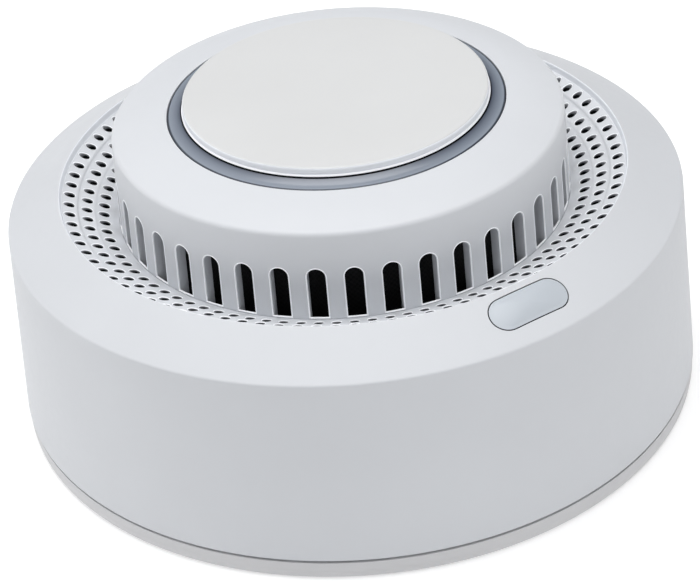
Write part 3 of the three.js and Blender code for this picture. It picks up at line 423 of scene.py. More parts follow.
def cell_material():
    """The plain dark jacket of a battery."""
    material, tree, shader = new_material("cell_jacket")
    dark, light = (0.045, 0.05, 0.06), (0.055, 0.062, 0.074)
    vary_colour(tree, shader, scale=400, dark=dark, light=light)
    socket(shader, "Roughness", 0.35)
    socket(shader, "Metallic", 0.4)
    return material


def lamp_material():
    """The creamy plastic of a small lamp."""
    material, tree, shader = new_material("lamp_plastic")
    dark, light = (0.74, 0.72, 0.64), (0.84, 0.82, 0.74)
    vary_colour(tree, shader, scale=1500, dark=dark, light=light)
    socket(shader, "Roughness", 0.25)
    return material


WHITE = (0.67, 0.687, 0.715)
MATERIALS = {
    "white_shell": moulded_plastic("white_shell", WHITE, 0.5),
    # painted shade: the shell's white made a little darker for the drum
    "drum_shaded_white": moulded_plastic("drum_shaded_white", shade(WHITE, 0.945), 0.5),
    "button_white": moulded_plastic("button_white", (0.68, 0.685, 0.685), 0.42),
    # painted highlights: light plastic that glows, for edges, rims and the button's side
    "edge_highlight": highlight_material("edge_highlight", (0.92, 0.93, 0.95), 0.11),
    "rim_highlight": highlight_material("rim_highlight", WHITE, 0.19),
    # painted shade for the holes' walls and the ring's underside, from grey down to near black
    "vent_scoop_shade": moulded_plastic("vent_scoop_shade", (0.29, 0.3, 0.315), 0.6),
    "vent_middle_shade": moulded_plastic("vent_middle_shade", (0.1, 0.104, 0.112), 0.6),
    "vent_shade": moulded_plastic("vent_shade", (0.006, 0.007, 0.009), 0.8, specular=0.1),
    "bracket_plastic": moulded_plastic("bracket_plastic", (0.62, 0.62, 0.63), 0.55),
    "rear_plastic": moulded_plastic("rear_plastic", (0.70, 0.71, 0.72), 0.6),
    "hush_grey": moulded_plastic("hush_grey", (0.51, 0.548, 0.59), 0.36, spread=0.008),
    "light_guide": light_guide_material(),
    "black_plastic": moulded_plastic("black_plastic", (0.008, 0.008, 0.009), 0.6),
    "component_black": moulded_plastic("component_black", (0.012, 0.012, 0.014), 0.5),
    "ribbon_plastic": moulded_plastic("ribbon_plastic", (0.10, 0.10, 0.11), 0.5),
    "circuit_board": circuit_board_material(),
    "plated_steel": metal_material("plated_steel", (0.55, 0.57, 0.60), 0.3),
    "sounder_brass": metal_material("sounder_brass", (0.66, 0.48, 0.20), 0.35),
    "screen_steel": screen_material(),
    "cell_jacket": cell_material(),
    "lamp_plastic": lamp_material(),
}

# the finishes of this script that belong to a slot of the record under another name
RECORD_SLOTS = {"button_white": "white_shell", "drum_shaded_white": "white_shell"}


def finish_cad_nodes():
    """Gives every CAD node the material of its slot in the record."""
    for entry in frame["record"]["subparts"]:
        node = frame["nodes"][entry["node"]]
        node.data.materials.clear()
        node.data.materials.append(MATERIALS[entry["material_slot"]])


finish_cad_nodes()


# ---------------------------------------------------------------- mesh helpers
def at(radius, azimuth, height):
    """A point in millimetres from radius, azimuth in degrees and height."""
    angle = math.radians(azimuth)
    return (radius * math.cos(angle), radius * math.sin(angle), height)


def fillet(corners, steps=5, closed=True):
    """Corners are (radius, height, rounding). Each corner with a rounding becomes a curve,
    which takes up less than half of the sides next to it."""
    points = []
    count = len(corners)
    for i, (x, y, rounding) in enumerate(corners):
        ends = not closed and i in (0, count - 1)
        if rounding <= 0 or ends:
            points.append((x, y))
            continue
        here = Vector((x, y))
        back = Vector(corners[i - 1][:2]) - here
        ahead = Vector(corners[(i + 1) % count][:2]) - here
        reach = min(rounding, back.length * 0.49, ahead.length * 0.49)
        start = here + back.normalized() * reach
        end = here + ahead.normalized() * reach
        for k in range(steps + 1):
            t = k / steps
            p = start * (1 - t) ** 2 + here * 2 * t * (1 - t) + end * t**2
            points.append((p.x, p.y))
    return points


class Shell:
    """Points in millimetres and faces, gathered ring by ring; a face may name its own finish."""

    def __init__(self):
        self.points = []
        self.faces = []
        self.finishes = []

    def add_face(self, corners, finish=None):
        """Adds one face by the numbers of its points."""
        self.faces.append(tuple(corners))
        self.finishes.append(finish)

    def ring(self, points):
        """Adds points and gives back their numbers."""
        start = len(self.points)
        self.points.extend(points)
        return list(range(start, len(self.points)))

    def circle(self, radius, height, segments, start=0.0):
        """A ring round the Z axis, from a start azimuth."""
        step = 360 / segments
        return self.ring([at(radius, start + k * step, height) for k in range(segments)])

    def bridge(self, one, other, finish=None):
        """Quads between two rings with the same number of points."""
        count = len(one)
        for i in range(count):
            j = (i + 1) % count
            self.add_face((one[i], one[j], other[j], other[i]), finish)

    def chain(self, rings, finish=None):
        """Bridges from each ring to the next."""
        for one, other in zip(rings, rings[1:]):
            self.bridge(one, other, finish)

    def cap(self, ring, centre):
        """Triangles from a ring to one middle point."""
        middle = self.ring([centre])[0]
        for i in range(len(ring)):
            self.add_face((ring[i], ring[(i + 1) % len(ring)], middle))

    def slab(self, low, high):
        """A solid between two rings, with a flat face on each."""
        self.bridge(low, high)
        self.add_face(reversed(low))
        self.add_face(high)

    def merge(self, other, shift):
        """Adds another shell's faces, moved by a shift."""
        base = len(self.points)
        self.points.extend([tuple(c + d for c, d in zip(point, shift)) for point in other.points])
        self.faces.extend([tuple(i + base for i in face) for face in other.faces])
        self.finishes.extend(other.finishes)


def turned(outline, segments=SEGMENTS):
    """A solid turned about Z. Its outline is a loop, or starts and ends on the axis."""
    shell = Shell()
    on_axis = outline[0][0] == 0
    profile = outline[1:-1] if on_axis else outline
    rings = [shell.circle(radius, height, segments) for radius, height in profile]
    shell.chain(rings)
    if on_axis:
        shell.cap(rings[0], (0, 0, outline[0][1]))
        shell.cap(rings[-1], (0, 0, outline[-1][1]))
    else:
        shell.bridge(rings[-1], rings[0])
    return shell


def box_into(shell, low, high, azimuth):
    """A box with its radial, round and height limits, turned to an azimuth."""
    spin = Matrix.Rotation(math.radians(azimuth), 3, "Z")

    def layer(height):
        x_sides = (low[0], high[0], high[0], low[0])
        y_sides = (low[1], low[1], high[1], high[1])
        return shell.ring([tuple(spin @ Vector((x, y, height))) for x, y in zip(x_sides, y_sides)])

    shell.slab(layer(low[2]), layer(high[2]))


# ---------------------------------------------------------------- objects
def new_object(name, shell, finish, sharp=40):
    """A welded, smooth shaded mesh. A face without a finish of its own takes the main one."""
    finishes = [finish, *dict.fromkeys(own for own in shell.finishes if own)]
    mesh = bpy.data.meshes.new(name)
    mesh.from_pydata([tuple(c * MM for c in p) for p in shell.points], [], shell.faces)
    for used in finishes:
        mesh.materials.append(MATERIALS[used])
    for polygon, own in zip(mesh.polygons, shell.finishes):
        polygon.material_index = finishes.index(own or finish)
    work = bmesh.new()
    work.from_mesh(mesh)
    bmesh.ops.remove_doubles(work, verts=work.verts, dist=WELD_DISTANCE)
    bmesh.ops.recalc_face_normals(work, faces=work.faces)
    work.to_mesh(mesh)
    work.free()
    made = bpy.data.objects.new(name, mesh)
    scene.collection.objects.link(made)
    shade_smooth(made, sharp)
    return made


def shade_smooth(piece, sharp):
    """Smooth shading, broken at edges sharper than an angle in degrees."""
    piece.data.shade_smooth()
    piece.data.set_sharp_from_angle(angle=math.radians(sharp))


def add_piece(name, shell, finish, body, nodes=(), sharp=40):
    """A piece that rides on a body and stands for CAD nodes."""
    piece = new_object(name, shell, finish, sharp)
    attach(piece, body)
    RECORD_SLOTS.get(finish, finish)
    if nodes:
        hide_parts(*nodes)
    return piece


def combine(piece, tool, operation):
    """Joins the tool to the piece or cuts it away, and deletes the tool."""
    modifier = piece.modifiers.new("combine", "BOOLEAN")
    modifier.operation = operation
    modifier.solver = "EXACT"
    modifier.object = tool
    depsgraph = bpy.context.evaluated_depsgraph_get()
    result = bpy.data.meshes.new_from_object(piece.evaluated_get(depsgraph))
    piece.modifiers.clear()
    old = piece.data
    piece.data = result
    bpy.data.meshes.remove(old)
    bpy.data.objects.remove(tool)


def refinish(piece, finish_at):
    """Gives a face the finish that finish_at(radius, height) names for its middle, if any."""
    slots = list(piece.data.materials)
    for polygon in piece.data.polygons:
        x, y, z = (c / MM for c in polygon.center)
        finish = finish_at(math.hypot(x, y), z)
        if finish is None:
            continue
        material = MATERIALS[finish]
        if material not in slots:
            slots.append(material)
            piece.data.materials.append(material)
        polygon.material_index = slots.index(material)


# ---------------------------------------------------------------- the shoulder's own frame
SHOULDER_SLOPE = math.atan2(LIP_HEIGHT - CREASE_HEIGHT, CREASE_RADIUS - PACKED_LIP_RADIUS)


def shoulder_height(radius):
    """Height of the drum's sloping shoulder, a plain cone."""
    return CREASE_HEIGHT + (CREASE_RADIUS - radius) * math.tan(SHOULDER_SLOPE)


def shoulder_matrix():
    """Millimetre frame on the shoulder: Z square to it, X round the alarm, Y up the slope."""
    place = Matrix.Translation(at(HUSH_CIRCLE, HUSH_AZIMUTH, shoulder_height(HUSH_CIRCLE)))
    turn = Matrix.Rotation(math.radians(HUSH_AZIMUTH) + math.pi / 2, 4, "Z")
    tilt = Matrix.Rotation(SHOULDER_SLOPE, 4, "X")
    return place @ turn @ tilt


SHOULDER = shoulder_matrix()
# how fast the cone falls away from its tangent plane, measured round the alarm
CONE_CURVATURE = math.sin(SHOULDER_SLOPE) / HUSH_CIRCLE


def pill_outline(growth):
    """The hush button's outline, long along X with round ends, grown on every side."""
    radius = HUSH_WIDTH / 2 + growth
    half = HUSH_LENGTH / 2 + growth - radius
    corners = []
    for side, start in ((1, -math.pi / 2), (-1, math.pi / 2)):
        for k in range(PILL_ARC_STEPS + 1):
            angle = start + math.pi * k / PILL_ARC_STEPS
            corners.append((side * half + radius * math.cos(angle), radius * math.sin(angle)))
    # straight sides get points of their own, so that they can follow the curved shoulder
    points = []
    for i, (x, y) in enumerate(corners):
        next_x, next_y = corners[(i + 1) % len(corners)]
        steps = PILL_SIDE_STEPS if abs(next_x - x) > half else 1
        for k in range(steps):
            t = k / steps
            points.append((x + (next_x - x) * t, y + (next_y - y) * t))
    return points


def follow_shoulder(x, y, height):
    """A point in the shoulder's frame whose height is measured from the curved surface."""
    sag = CONE_CURVATURE * x * x / 2
    return tuple(SHOULDER @ Vector((x, y, height - sag)))


def pill_ring(shell, growth, height, share=1.0):
    """A ring of the pill's outline on the shoulder; a share below 1 shrinks it to its middle."""
    outline = pill_outline(growth)
    return shell.ring([follow_shoulder(x * share, y * share, height) for x, y in outline])


# ---------------------------------------------------------------- drum
def hush_hole():
    """The hole for the pill, as a cutter whose mouth is slightly bevelled."""
    shell = Shell()
    rings = [pill_ring(shell, HUSH_GAP + growth, height) for growth, height in HUSH_HOLE]
    shell.chain(rings)
    shell.add_face(reversed(rings[0]))
    shell.add_face(rings[-1])
    return new_object("hush_cutter", shell, "white_shell")


def lip_highlight(radius, height):
    """The drum's lip takes a glowing painted highlight, brighter than its shoulder."""
    on_lip = radius < LIP_RADIUS + LIP_BAND and height > LEDGE_TOP + LIP_BAND_RISE
    return "rim_highlight" if on_lip else None


def make_drum():
    # rings across the shoulder keep its shading even where the hush button's hole is cut
    first = CREASE_RADIUS - SHOULDER_FIRST_RING
    across = [first - SHOULDER_RING_STEP * k for k in range(SHOULDER_RINGS)]
    outline = fillet(
        [
            (FOOT_RADIUS - FOOT_INSET, DRUM_BOTTOM, 0.18),
            (CREASE_RADIUS, CREASE_HEIGHT, 0.3),
            *[(radius, shoulder_height(radius), 0) for radius in across],
            (LIP_RADIUS, shoulder_height(LIP_RADIUS), 0.5),
            (LIP_RADIUS, LEDGE_TOP + LEDGE_CHAMFER, 0.1),
            (LEDGE_RADIUS, LEDGE_TOP, 0.1),
            (LEDGE_RADIUS, LEDGE_BOTTOM, 0.1),
            (LEDGE_ROOT_RADIUS, LEDGE_BOTTOM, 0.2),
            (*INNER_CREASE, 0.6),
            (FOOT_RADIUS - WALL, DRUM_BOTTOM, 0.15),
        ],
        steps=7,
    )
    drum = add_piece("drum_body", turned(outline), "drum_shaded_white", "head", ["drum_shell"])
    combine(drum, hush_hole(), "DIFFERENCE")
    shade_smooth(drum, 35)
    refinish(drum, lip_highlight)


def make_bosses():
    """The three screw posts inside the drum, each with its pilot hole."""
    outline = [
        (0, PILOT_TIP),
        (PILOT_RADIUS, PILOT_END),
        (PILOT_RADIUS, BOSS_BOTTOM),
        (BOSS_RADIUS, BOSS_BOTTOM),
        (BOSS_RADIUS, BOSS_STEP),
        (BOSS_NECK_RADIUS, BOSS_STEP),
        (BOSS_NECK_RADIUS, BOSS_TOP),
        (0, BOSS_TOP),
    ]
    post = turned(outline, BOSS_SEGMENTS)
    shell = Shell()
    for azimuth in BOSS_ANGLES:
        shell.merge(post, at(BOSS_CIRCLE, azimuth, 0))
    add_piece("screw_posts", shell, "white_shell", "head")


# ---------------------------------------------------------------- perforated ring
def band_height(radius, band):
    """Height of the top surface inside one band, which slopes through its row of holes."""
    return ROW_HEIGHTS[band] + BAND_SLOPE * (radius - ROW_RADII[band])


def rectangle_loop(left, right, bottom, top, counts):
    """Points round a rectangle, anticlockwise from its lower left corner."""
    corners = [(left, bottom), (right, bottom), (right, top), (left, top)]
    points = []
    for i, count in enumerate(counts):
        (x0, y0), (x1, y1) = corners[i], corners[(i + 1) % 4]
        points.extend([(x0 + (x1 - x0) * k / count, y0 + (y1 - y0) * k / count) for k in range(count)])
    return points


def blend_loops(one, other, t):
    """A loop part of the way from one loop to another."""
    return [(a + (c - a) * t, b + (d - b) * t) for (a, b), (c, d) in zip(one, other)]


def hole_loop(azimuth, band, grow, scoop):
    """A hole's oval as (azimuth, radius), in step with rectangle_loop; the scoop draws it outwards."""
    middle = ROW_RADII[band] - SCOOP_REACH / 2
    count = 4 * HOLE_SIDE
    points = []
    for k in range(count):
        angle = math.radians(-135) + 2 * math.pi * k / count
        across = (HOLE_ROUND + grow) * math.cos(angle)
        along = (HOLE_RADIAL + grow) * math.sin(angle)
        along += scoop * max(0.0, math.sin(angle))
        points.append((azimuth + math.degrees(across / middle), middle + along))
    return points


def perforate(shell, azimuth, band):
    """One cell of the ring: its top face, one bevelled and scooped hole, and its underside."""
    inner = BAND_EDGES[band] + (RISER_WIDTH / 2 if band > 0 else 0)
    outer = BAND_EDGES[band + 1] - (RISER_WIDTH / 2 if band < LAST_BAND else 0)
    half = 180 / COLUMNS
    edge = rectangle_loop(azimuth - half, azimuth + half, inner, outer, [HOLE_SIDE] * 4)
    bevel_width, bevel_depth = BEVEL_BEND
    scoop_width, scoop_depth = SCOOP_BEND
    mouth = hole_loop(azimuth, band, HOLE_BEVEL, SCOOP_REACH)
    bevel = hole_loop(azimuth, band, HOLE_BEVEL * bevel_width, SCOOP_REACH)
    lip = hole_loop(azimuth, band, 0, SCOOP_REACH)
    slope = hole_loop(azimuth, band, 0, SCOOP_REACH * scoop_width)
    throat = hole_loop(azimuth, band, 0, 0)
    # the bevel is a painted highlight; the scoop and throat below it are painted shade, darker with depth,
    # as is the underside
    levels = [
        (edge, 0, None),
        (blend_loops(edge, mouth, 0.5), 0, None),
        (mouth, 0, None),
        (bevel, HOLE_BEVEL * bevel_depth, "edge_highlight"),
        (lip, HOLE_BEVEL, "edge_highlight"),
        (slope, SCOOP_DEPTH * scoop_depth, "vent_scoop_shade"),
        (throat, SCOOP_DEPTH, "vent_middle_shade"),
        (throat, GRILLE_THICKNESS, "vent_shade"),
        (edge, GRILLE_THICKNESS, "vent_shade"),
    ]
    rings = []
    for loop, drop, _ in levels:
        rings.append(shell.ring([at(r, a, band_height(r, band) - drop) for a, r in loop]))
    for one, other, (_, _, finish) in zip(rings, rings[1:], levels[1:]):
        shell.bridge(one, other, finish)


def grille_circle(shell, radius, height):
    """A full ring whose points meet the cells' edges."""
    return shell.circle(radius, height, COLUMNS * HOLE_SIDE, COLUMN_PHASE - 180 / COLUMNS)


def grille_riser(shell, joint):
    """The small step between one band and the next, above and below."""
    middle = BAND_EDGES[joint]
    inner = middle - RISER_WIDTH / 2
    outer = middle + RISER_WIDTH / 2
    low = band_height(inner, joint - 1)
    high = band_height(outer, joint)
    top = [(inner, low), (middle, (low + high) / 2 + RISER_SWELL), (outer, high)]
    under = [(inner, low - GRILLE_THICKNESS), (outer, high - GRILLE_THICKNESS)]
    shell.chain([grille_circle(shell, radius, height) for radius, height in top])
    # the underside is painted near-black shade
    shell.chain([grille_circle(shell, radius, height) for radius, height in under], "vent_shade")


def grille_inner_edge(shell):
    """The upright face next to the turret."""
    radius = BAND_EDGES[0]
    height = band_height(radius, 0)
    shell.bridge(
        grille_circle(shell, radius, height),
        grille_circle(shell, radius, height - GRILLE_THICKNESS),
    )


def grille_rim(shell):
    """The outer rim, which curls up to the drum's lip as a quarter of an ellipse, in a glowing painted
    highlight.
    """
    inner = BAND_EDGES[-1]
    base = band_height(inner, LAST_BAND)
    width = LIP_RADIUS - SEAM - inner
    profile = []
    for k in range(RIM_STEPS + 1):
        share = k / RIM_STEPS
        profile.append((inner + width * share, base + RIM_RISE * (1 - math.sqrt(1 - share**2))))
    profile.append((inner + width, base - GRILLE_THICKNESS))
    profile.append((inner, base - GRILLE_THICKNESS))
    shell.chain([grille_circle(shell, radius, height) for radius, height in profile], "rim_highlight")


def make_grille():
    shell = Shell()
    for column in range(COLUMNS):
        for band in range(LAST_BAND + 1):
            perforate(shell, COLUMN_PHASE + column * 360 / COLUMNS, band)
    for joint in range(1, LAST_BAND + 1):
        grille_riser(shell, joint)
    grille_inner_edge(shell)
    grille_rim(shell)
    add_piece("vent_ring", shell, "white_shell", "head", ["grille_ring"], sharp=50)


# ---------------------------------------------------------------- turret
def turret_radius(height):
    """Outer radius of the turret's wall, a straight taper."""
    (foot_radius, foot_height), (edge_radius, edge_height) = TURRET_FOOT, TURRET_EDGE
    t = (height - foot_height) / (edge_height - foot_height)
    return foot_radius + (edge_radius - foot_radius) * t


def slot_outline(grow, sill_drop):
    """The slot's outline as (offset from its middle, height), in step with rectangle_loop."""
    half = SLOT_HALF_WIDTH + grow
    bottom = SLOT_BOTTOM - grow - sill_drop
    spring = SLOT_TOP - SLOT_HALF_WIDTH
    sill, side, arch, _ = SLOT_COUNTS
    points = [(-half + 2 * half * k / sill, bottom) for k in range(sill)]
    points += [(half, bottom + (spring - bottom) * k / side) for k in range(side)]
    for k in range(arch):
        angle = math.pi * k / arch
        points.append((half * math.cos(angle), spring + half * math.sin(angle)))
    points += [(-half, spring + (bottom - spring) * k / side) for k in range(side)]
    return points


def slot_loop(azimuth, grow, depth, sill_drop=0.0):
    """The slot's outline at a depth in the wall, as (azimuth, height)."""
    loop = []
    for offset, height in slot_outline(grow, sill_drop):
        radius = turret_radius(height) - depth
        loop.append((azimuth + math.degrees(math.asin(offset / radius)), height))
    return loop


def slot_cell(shell, azimuth):
    """One slot with the wall round it, outside and inside."""
    half = 180 / SLOT_COUNT
    edge = rectangle_loop(azimuth - half, azimuth + half, CELL_BOTTOM, CELL_TOP, SLOT_COUNTS)
    inner_edge = [(a, z - SILL_DROP if math.isclose(z, CELL_BOTTOM) else z) for a, z in edge]
    mouth = slot_loop(azimuth, SLOT_BEVEL, 0)
    inside = slot_loop(azimuth, 0, TURRET_WALL, SILL_DROP)
    middle = TURRET_WALL / 2

    def ring(loop, depth):
        return shell.ring([at(turret_radius(z) - depth, a, z) for a, z in loop])

    outer = [ring(edge, 0), ring(blend_loops(edge, mouth, 0.6), 0), ring(mouth, 0)]
    lips = [ring(slot_loop(azimuth, SLOT_BEVEL * share, depth), depth) for share, depth in SLOT_LIP]
    inner = [
        ring(slot_loop(azimuth, 0, middle, SILL_DROP / 2), middle),
        ring(inside, TURRET_WALL),
        ring(blend_loops(inner_edge, inside, 0.5), TURRET_WALL),
        ring(inner_edge, TURRET_WALL),
    ]
    shell.chain(outer)
    # the slot's bevelled lip is a painted highlight
    shell.chain([outer[-1], *lips], "edge_highlight")
    shell.chain([lips[-1], *inner])


def turret_band(shell, outline, points_per_cell):
    """A plain turned band of the turret whose points meet the cells' edges."""
    segments = SLOT_COUNT * points_per_cell
    start = SLOT_PHASE - 180 / SLOT_COUNT
    shell.chain([shell.circle(radius, height, segments, start) for radius, height in outline])


def make_turret():
    shell = Shell()
    for i in range(SLOT_COUNT):
        slot_cell(shell, SLOT_PHASE + i * 360 / SLOT_COUNT)
    sill, _, arch, _ = SLOT_COUNTS
    foot = turret_radius(TURRET_BOTTOM)
    inner_bottom = CELL_BOTTOM - SILL_DROP
    foot_outline = [
        (turret_radius(CELL_BOTTOM), CELL_BOTTOM, 0),
        (foot, TURRET_BOTTOM, 0.2),
        (foot - TURRET_WALL, TURRET_BOTTOM, 0.2),
        (turret_radius(inner_bottom) - TURRET_WALL, inner_bottom, 0),
    ]
    turret_band(shell, fillet(foot_outline, closed=False), sill)
    top_outline = [
        (turret_radius(CELL_TOP), CELL_TOP, 0),
        (*TURRET_CORNER, 0.6),
        (*DOME_KNEE, 2.0),
        (COLLAR_RADIUS, COLLAR_HEIGHT, 0.16),
        (COLLAR_RADIUS, COLLAR_BOTTOM, 0.1),
        (COLLAR_RADIUS + COLLAR_WALL, COLLAR_BOTTOM, 0.1),
        (COLLAR_RADIUS + COLLAR_WALL, COLLAR_HEIGHT - ROOF_THICKNESS, 0.2),
        (*TURRET_INNER_CORNER, 0.6),
        (turret_radius(CELL_TOP) - TURRET_WALL, CELL_TOP, 0),
    ]
    turret_band(shell, fillet(top_outline, steps=8, closed=False), arch)
    add_piece("turret", shell, "white_shell", "head", ["turret_shell"])


# ---------------------------------------------------------------- light ring
def make_light_ring():
    outline = fillet(
        [
            (LIGHT_INNER_RADIUS, LIGHT_BOTTOM, 0.1),
            (LIGHT_OUTER_RADIUS, LIGHT_BOTTOM, 0.1),
            (LIGHT_OUTER_RADIUS, LIGHT_OUTER_HEIGHT, 0.15),
            (*LIGHT_KNEE, 0.6),
            (LIGHT_INNER_RADIUS, LIGHT_TOP, 0.12),
        ]
    )
    add_piece("light_band", turned(outline), "light_guide", "head", ["light_ring"])


# ---------------------------------------------------------------- test button
def button_side_light_and_shade(radius, height):
    """The side is a glowing painted highlight, with a brighter painted highlight line at its step and
    painted shade just above the light band.
    """
    if radius <= BUTTON_RADIUS - BUTTON_STEP - BUTTON_SIDE or height <= BUTTON_SKIRT_BOTTOM:
        return None
    if height < LIGHT_TOP + BUTTON_SHADE_LINE:
        return "vent_shade"
    low, high = BUTTON_HIGHLIGHT_LINE
    return "edge_highlight" if low < height < high else "rim_highlight"


def make_button():
    skirt = BUTTON_RADIUS - BUTTON_WALL
    wall = BUTTON_RADIUS - BUTTON_STEP
    outline = fillet(
        [
            (0, BUTTON_CROWN, 0),
            *[(radius, BUTTON_CROWN - drop, 0) for radius, drop in BUTTON_DOME],
            (wall, BUTTON_CROWN - BUTTON_DOME_DROP, 0.42),
            (wall, BUTTON_STEP_TOP, 0.05),
            (BUTTON_RADIUS, BUTTON_STEP_EDGE, 0.08),
            (BUTTON_RADIUS, LIGHT_TOP + BUTTON_SHADE_LINE, 0),
            (BUTTON_RADIUS, BUTTON_SKIRT_BOTTOM, 0.1),
            (skirt, BUTTON_SKIRT_BOTTOM, 0.1),
            (skirt, BUTTON_UNDERSIDE, 0.3),
            (STUD_RADIUS, BUTTON_UNDERSIDE, 0.2),
            (STUD_RADIUS, STUD_BOTTOM, 0.1),
            (0, STUD_BOTTOM, 0),
        ],
        steps=6,
        closed=False,
    )
    shell = turned(outline)
    for azimuth in CLIP_ANGLES:
        arm_inner, arm_outer = CLIP_RADII
        arm_low = (arm_inner, -CLIP_HALF_WIDTH, BUTTON_CLIP_BOTTOM)
        box_into(shell, arm_low, (arm_outer, CLIP_HALF_WIDTH, CLIP_TOP), azimuth)
        hook_inner, hook_outer = CLIP_HOOK_RADII
        hook_low = (hook_inner, -CLIP_HALF_WIDTH, BUTTON_CLIP_BOTTOM)
        hook_high = (hook_outer, CLIP_HALF_WIDTH, BUTTON_CLIP_BOTTOM + CLIP_HOOK_HEIGHT)
        box_into(shell, hook_low, hook_high, azimuth)
    button = add_piece("centre_button", shell, "button_white", "test_button", ["test_button"])
    refinish(button, button_side_light_and_shade)


# ---------------------------------------------------------------- hush button
def make_hush_button():
    """A pill that follows the curve of the shoulder, with a soft edge and a low crown."""
    shell = Shell()
    rings = [pill_ring(shell, growth, height) for growth, height in HUSH_SIDES]
    rings.append(pill_ring(shell, HUSH_RIM, -HUSH_EDGE_DROP))
    for k in range(1, HUSH_CROWN_STEPS):
        share = 1 - k / HUSH_CROWN_STEPS
        raised = HUSH_CROWN * (1 - share * share) - HUSH_EDGE_DROP
        rings.append(pill_ring(shell, HUSH_RIM, raised, share))
    # the pill's walls and the start of its rounding are painted near-black shade
    shell.chain(rings[: HUSH_SHADED_EDGES + 1], "vent_shade")
    shell.chain(rings[HUSH_SHADED_EDGES:])
    shell.add_face(reversed(rings[0]))
    shell.cap(rings[-1], follow_shoulder(0, 0, HUSH_CROWN - HUSH_EDGE_DROP))
    add_piece("hush_pill", shell, "hush_grey", "hush_button", ["hush_button"])


# ---------------------------------------------------------------- ceiling plate
def arc_slab(name, radii, azimuths, bottom, top):
    """Part of a flat ring between two radii and two azimuths, as a tool."""
    shell = Shell()
    inner, outer = radii
    first, last = azimuths
    outline = [(outer, first + (last - first) * k / ARC_STEPS) for k in range(ARC_STEPS + 1)]
    outline += [(inner, last + (first - last) * k / ARC_STEPS) for k in range(ARC_STEPS + 1)]
    low = shell.ring([at(radius, azimuth, bottom) for radius, azimuth in outline])
    high = shell.ring([at(radius, azimuth, top) for radius, azimuth in outline])
    shell.slab(low, high)
    return new_object(name, shell, "bracket_plastic")


def screw_slot(azimuth):
    """A curved slot with round ends, as a cutter."""
    outline = []
    for side in (1, -1):  # the outer side one way, then the inner side back
        radius = SCREW_SLOT_CIRCLE + side * SCREW_SLOT_HALF_WIDTH
        for k in range(ARC_STEPS + 1):
            share = side * (2 * k / ARC_STEPS - 1)
            outline.append(at(radius, azimuth + SCREW_SLOT_HALF_ANGLE * share, 0))
        end_azimuth = azimuth + SCREW_SLOT_HALF_ANGLE * side
        end = Vector(at(SCREW_SLOT_CIRCLE, end_azimuth, 0))
        turn = math.radians(end_azimuth + (0 if side > 0 else 180))
        for k in range(1, ARC_STEPS):
            angle = turn + math.pi * k / ARC_STEPS
            outward = Vector((math.cos(angle), math.sin(angle), 0))
            outline.append(tuple(end + SCREW_SLOT_HALF_WIDTH * outward))
    shell = Shell()
    low = shell.ring([(x, y, -CUTTER_MARGIN) for x, y, _ in outline])
    high = shell.ring([(x, y, PLATE_FLOOR + CUTTER_MARGIN) for x, y, _ in outline])
    shell.slab(low, high)
    return new_object("slot_cutter", shell, "bracket_plastic")


def make_plate():
    rim_radius, rim_height = PLATE_RIM
    taper_width, taper_height = PLATE_TAPER
    outline = fillet(
        [
            (0, 0, 0),
            (PLATE_VISIBLE_RADIUS - taper_width, 0, 0.8),
            (PLATE_VISIBLE_RADIUS, taper_height, 0.5),
            (PLATE_VISIBLE_RADIUS, rim_height, 0.1),
            (rim_radius, rim_height, 0.2),
            (rim_radius, PLATE_FLOOR, 0.2),
            (0, PLATE_FLOOR, 0),
        ],
        steps=6,
        closed=False,
    )
    plate = add_piece("ceiling_plate", turned(outline), "bracket_plastic", "bracket", ["mounting_bracket"])
    for azimuth in SCREW_SLOT_ANGLES:
        combine(plate, screw_slot(azimuth), "DIFFERENCE")
    for azimuth in HOOK_ANGLES:
        post_ends = (azimuth - HOOK_HALF_ANGLE, azimuth + HOOK_HALF_ANGLE)
        post = arc_slab("hook_post", HOOK_RADII, post_ends, PLATE_FLOOR - HOOK_ROOT, HOOK_TOP)
        combine(plate, post, "UNION")
        tongue_ends = (azimuth + TONGUE_ANGLES[0], azimuth + TONGUE_ANGLES[1])
        tongue = arc_slab("hook_tongue", HOOK_RADII, tongue_ends, TONGUE_BOTTOM, HOOK_TOP)
        combine(plate, tongue, "UNION")
    shade_smooth(plate, 35)


make_plate()
make_drum()
make_bosses()
make_grille()
make_turret()
make_light_ring()
make_button()
make_hush_button()


# ---------------------------------------------------------------- studio
# distances here are in metres
KEY_DIRECTION = (-0.1, 0.0, 0.93)
HORIZON = (0.15, 0.154, 0.162)
ZENITH = (0.92, 0.925, 0.94)
OVERHEAD_POWER = 13.8
LEFT_POWER = 2.8
RIGHT_POWER = 2.2
FLOOR_SIZE = 8
FLOOR_DROP = 0.0001
FLOOR_NEAR, FLOOR_FAR = 0.25, 1.6  # the floor's tone falls off between these distances
FLOOR_TONE = 0.72
FLOOR_FAR_TONE = 0.66
FLOOR_GLOW = 0.4
FLOOR_FAR_GLOW = 0.12
SHADE_DIRECTION = (0.62, 0.68, 0.3)
SHADE_TONE = (0.06, 0.05, 0.035)
# the sockets of a mix node that mixes colours
MIX_FACTOR, MIX_COLOUR_A, MIX_COLOUR_B, MIX_RESULT = 0, 6, 7, 2


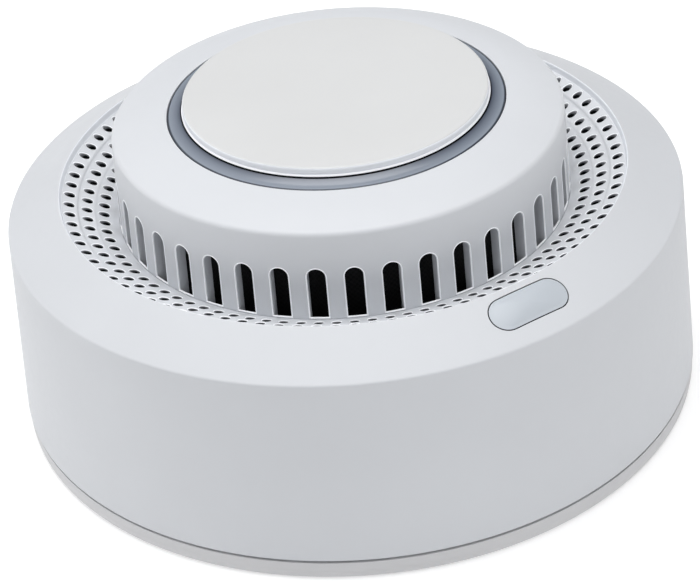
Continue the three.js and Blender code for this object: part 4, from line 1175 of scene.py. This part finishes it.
def make_floor():
    """A plain pale floor, whitest round the object."""
    half = FLOOR_SIZE / 2
    corners = [(-half, -half, 0), (half, -half, 0), (half, half, 0), (-half, half, 0)]
    mesh = bpy.data.meshes.new("floor")
    mesh.from_pydata(corners, [], [(0, 1, 2, 3)])
    floor = bpy.data.objects.new("floor", mesh)
    material, tree, shader = new_material("floor_white")
    share = distance_share(tree, FLOOR_NEAR, FLOOR_FAR)
    tones = [(0.0, (FLOOR_TONE,) * 3), (1.0, (FLOOR_FAR_TONE,) * 3)]
    glows = [(0.0, (FLOOR_GLOW,) * 3), (1.0, (FLOOR_FAR_GLOW,) * 3)]
    tree.links.new(ramp(tree, share, tones), shader.inputs["Base Color"])
    tree.links.new(ramp(tree, share, glows), shader.inputs["Emission Color"])
    socket(shader, "Emission Strength", 1)
    socket(shader, "Roughness", 0.9)
    socket(shader, "Specular IOR Level", 0.0)
    mesh.materials.append(material)
    floor.location.z = -FLOOR_DROP
    scene.collection.objects.link(floor)


def soft_light(name, place, aim, side, power, colour=(1, 1, 1)):
    """A square area light turned towards a point."""
    data = bpy.data.lights.new(name, "AREA")
    data.shape = "RECTANGLE"
    data.size = side
    data.size_y = side
    data.energy = power
    data.color = colour
    light = bpy.data.objects.new(name, data)
    light.location = place
    direction = Vector(aim) - Vector(place)
    light.rotation_euler = direction.to_track_quat("-Z", "Y").to_euler()
    scene.collection.objects.link(light)


def make_world():
    """A soft sky: brightest overhead, dim near and below the horizon, dark and warm behind."""
    world = bpy.data.worlds.new("studio")
    scene.world = world
    world.use_nodes = True
    tree = world.node_tree
    direction = tree.nodes.new("ShaderNodeTexCoord").outputs["Generated"]

    def towards(target):
        node = tree.nodes.new("ShaderNodeVectorMath")
        node.operation = "DOT_PRODUCT"
        node.inputs[1].default_value = Vector(target).normalized()
        tree.links.new(direction, node.inputs[0])
        return node.outputs["Value"]

    sky = ramp(tree, towards(KEY_DIRECTION), [(0.3, HORIZON), (0.98, ZENITH)])
    shaded = ramp(tree, towards(SHADE_DIRECTION), [(0.4, (1, 1, 1)), (0.8, SHADE_TONE)])
    product = tree.nodes.new("ShaderNodeMix")
    product.data_type = "RGBA"
    product.blend_type = "MULTIPLY"
    socket(product, MIX_FACTOR, 1)
    tree.links.new(sky, product.inputs[MIX_COLOUR_A])
    tree.links.new(shaded, product.inputs[MIX_COLOUR_B])
    background = tree.nodes["Background"]
    tree.links.new(product.outputs[MIX_RESULT], background.inputs["Color"])
    socket(background, "Strength", 1.0)


def make_studio():
    make_world()
    soft_light("overhead", (0.0, 0.1, 1.4), (0, 0, 0), 1.0, OVERHEAD_POWER)
    soft_light("left_box", (-1.2, 0.15, 0.3), (0, 0, 0.03), 0.7, LEFT_POWER, (1, 0.99, 0.97))
    soft_light("right_box", (1.1, -0.45, 0.5), (0, 0, 0.03), 0.6, RIGHT_POWER)
    scene.view_settings.view_transform = "Standard"


make_floor()
make_studio()
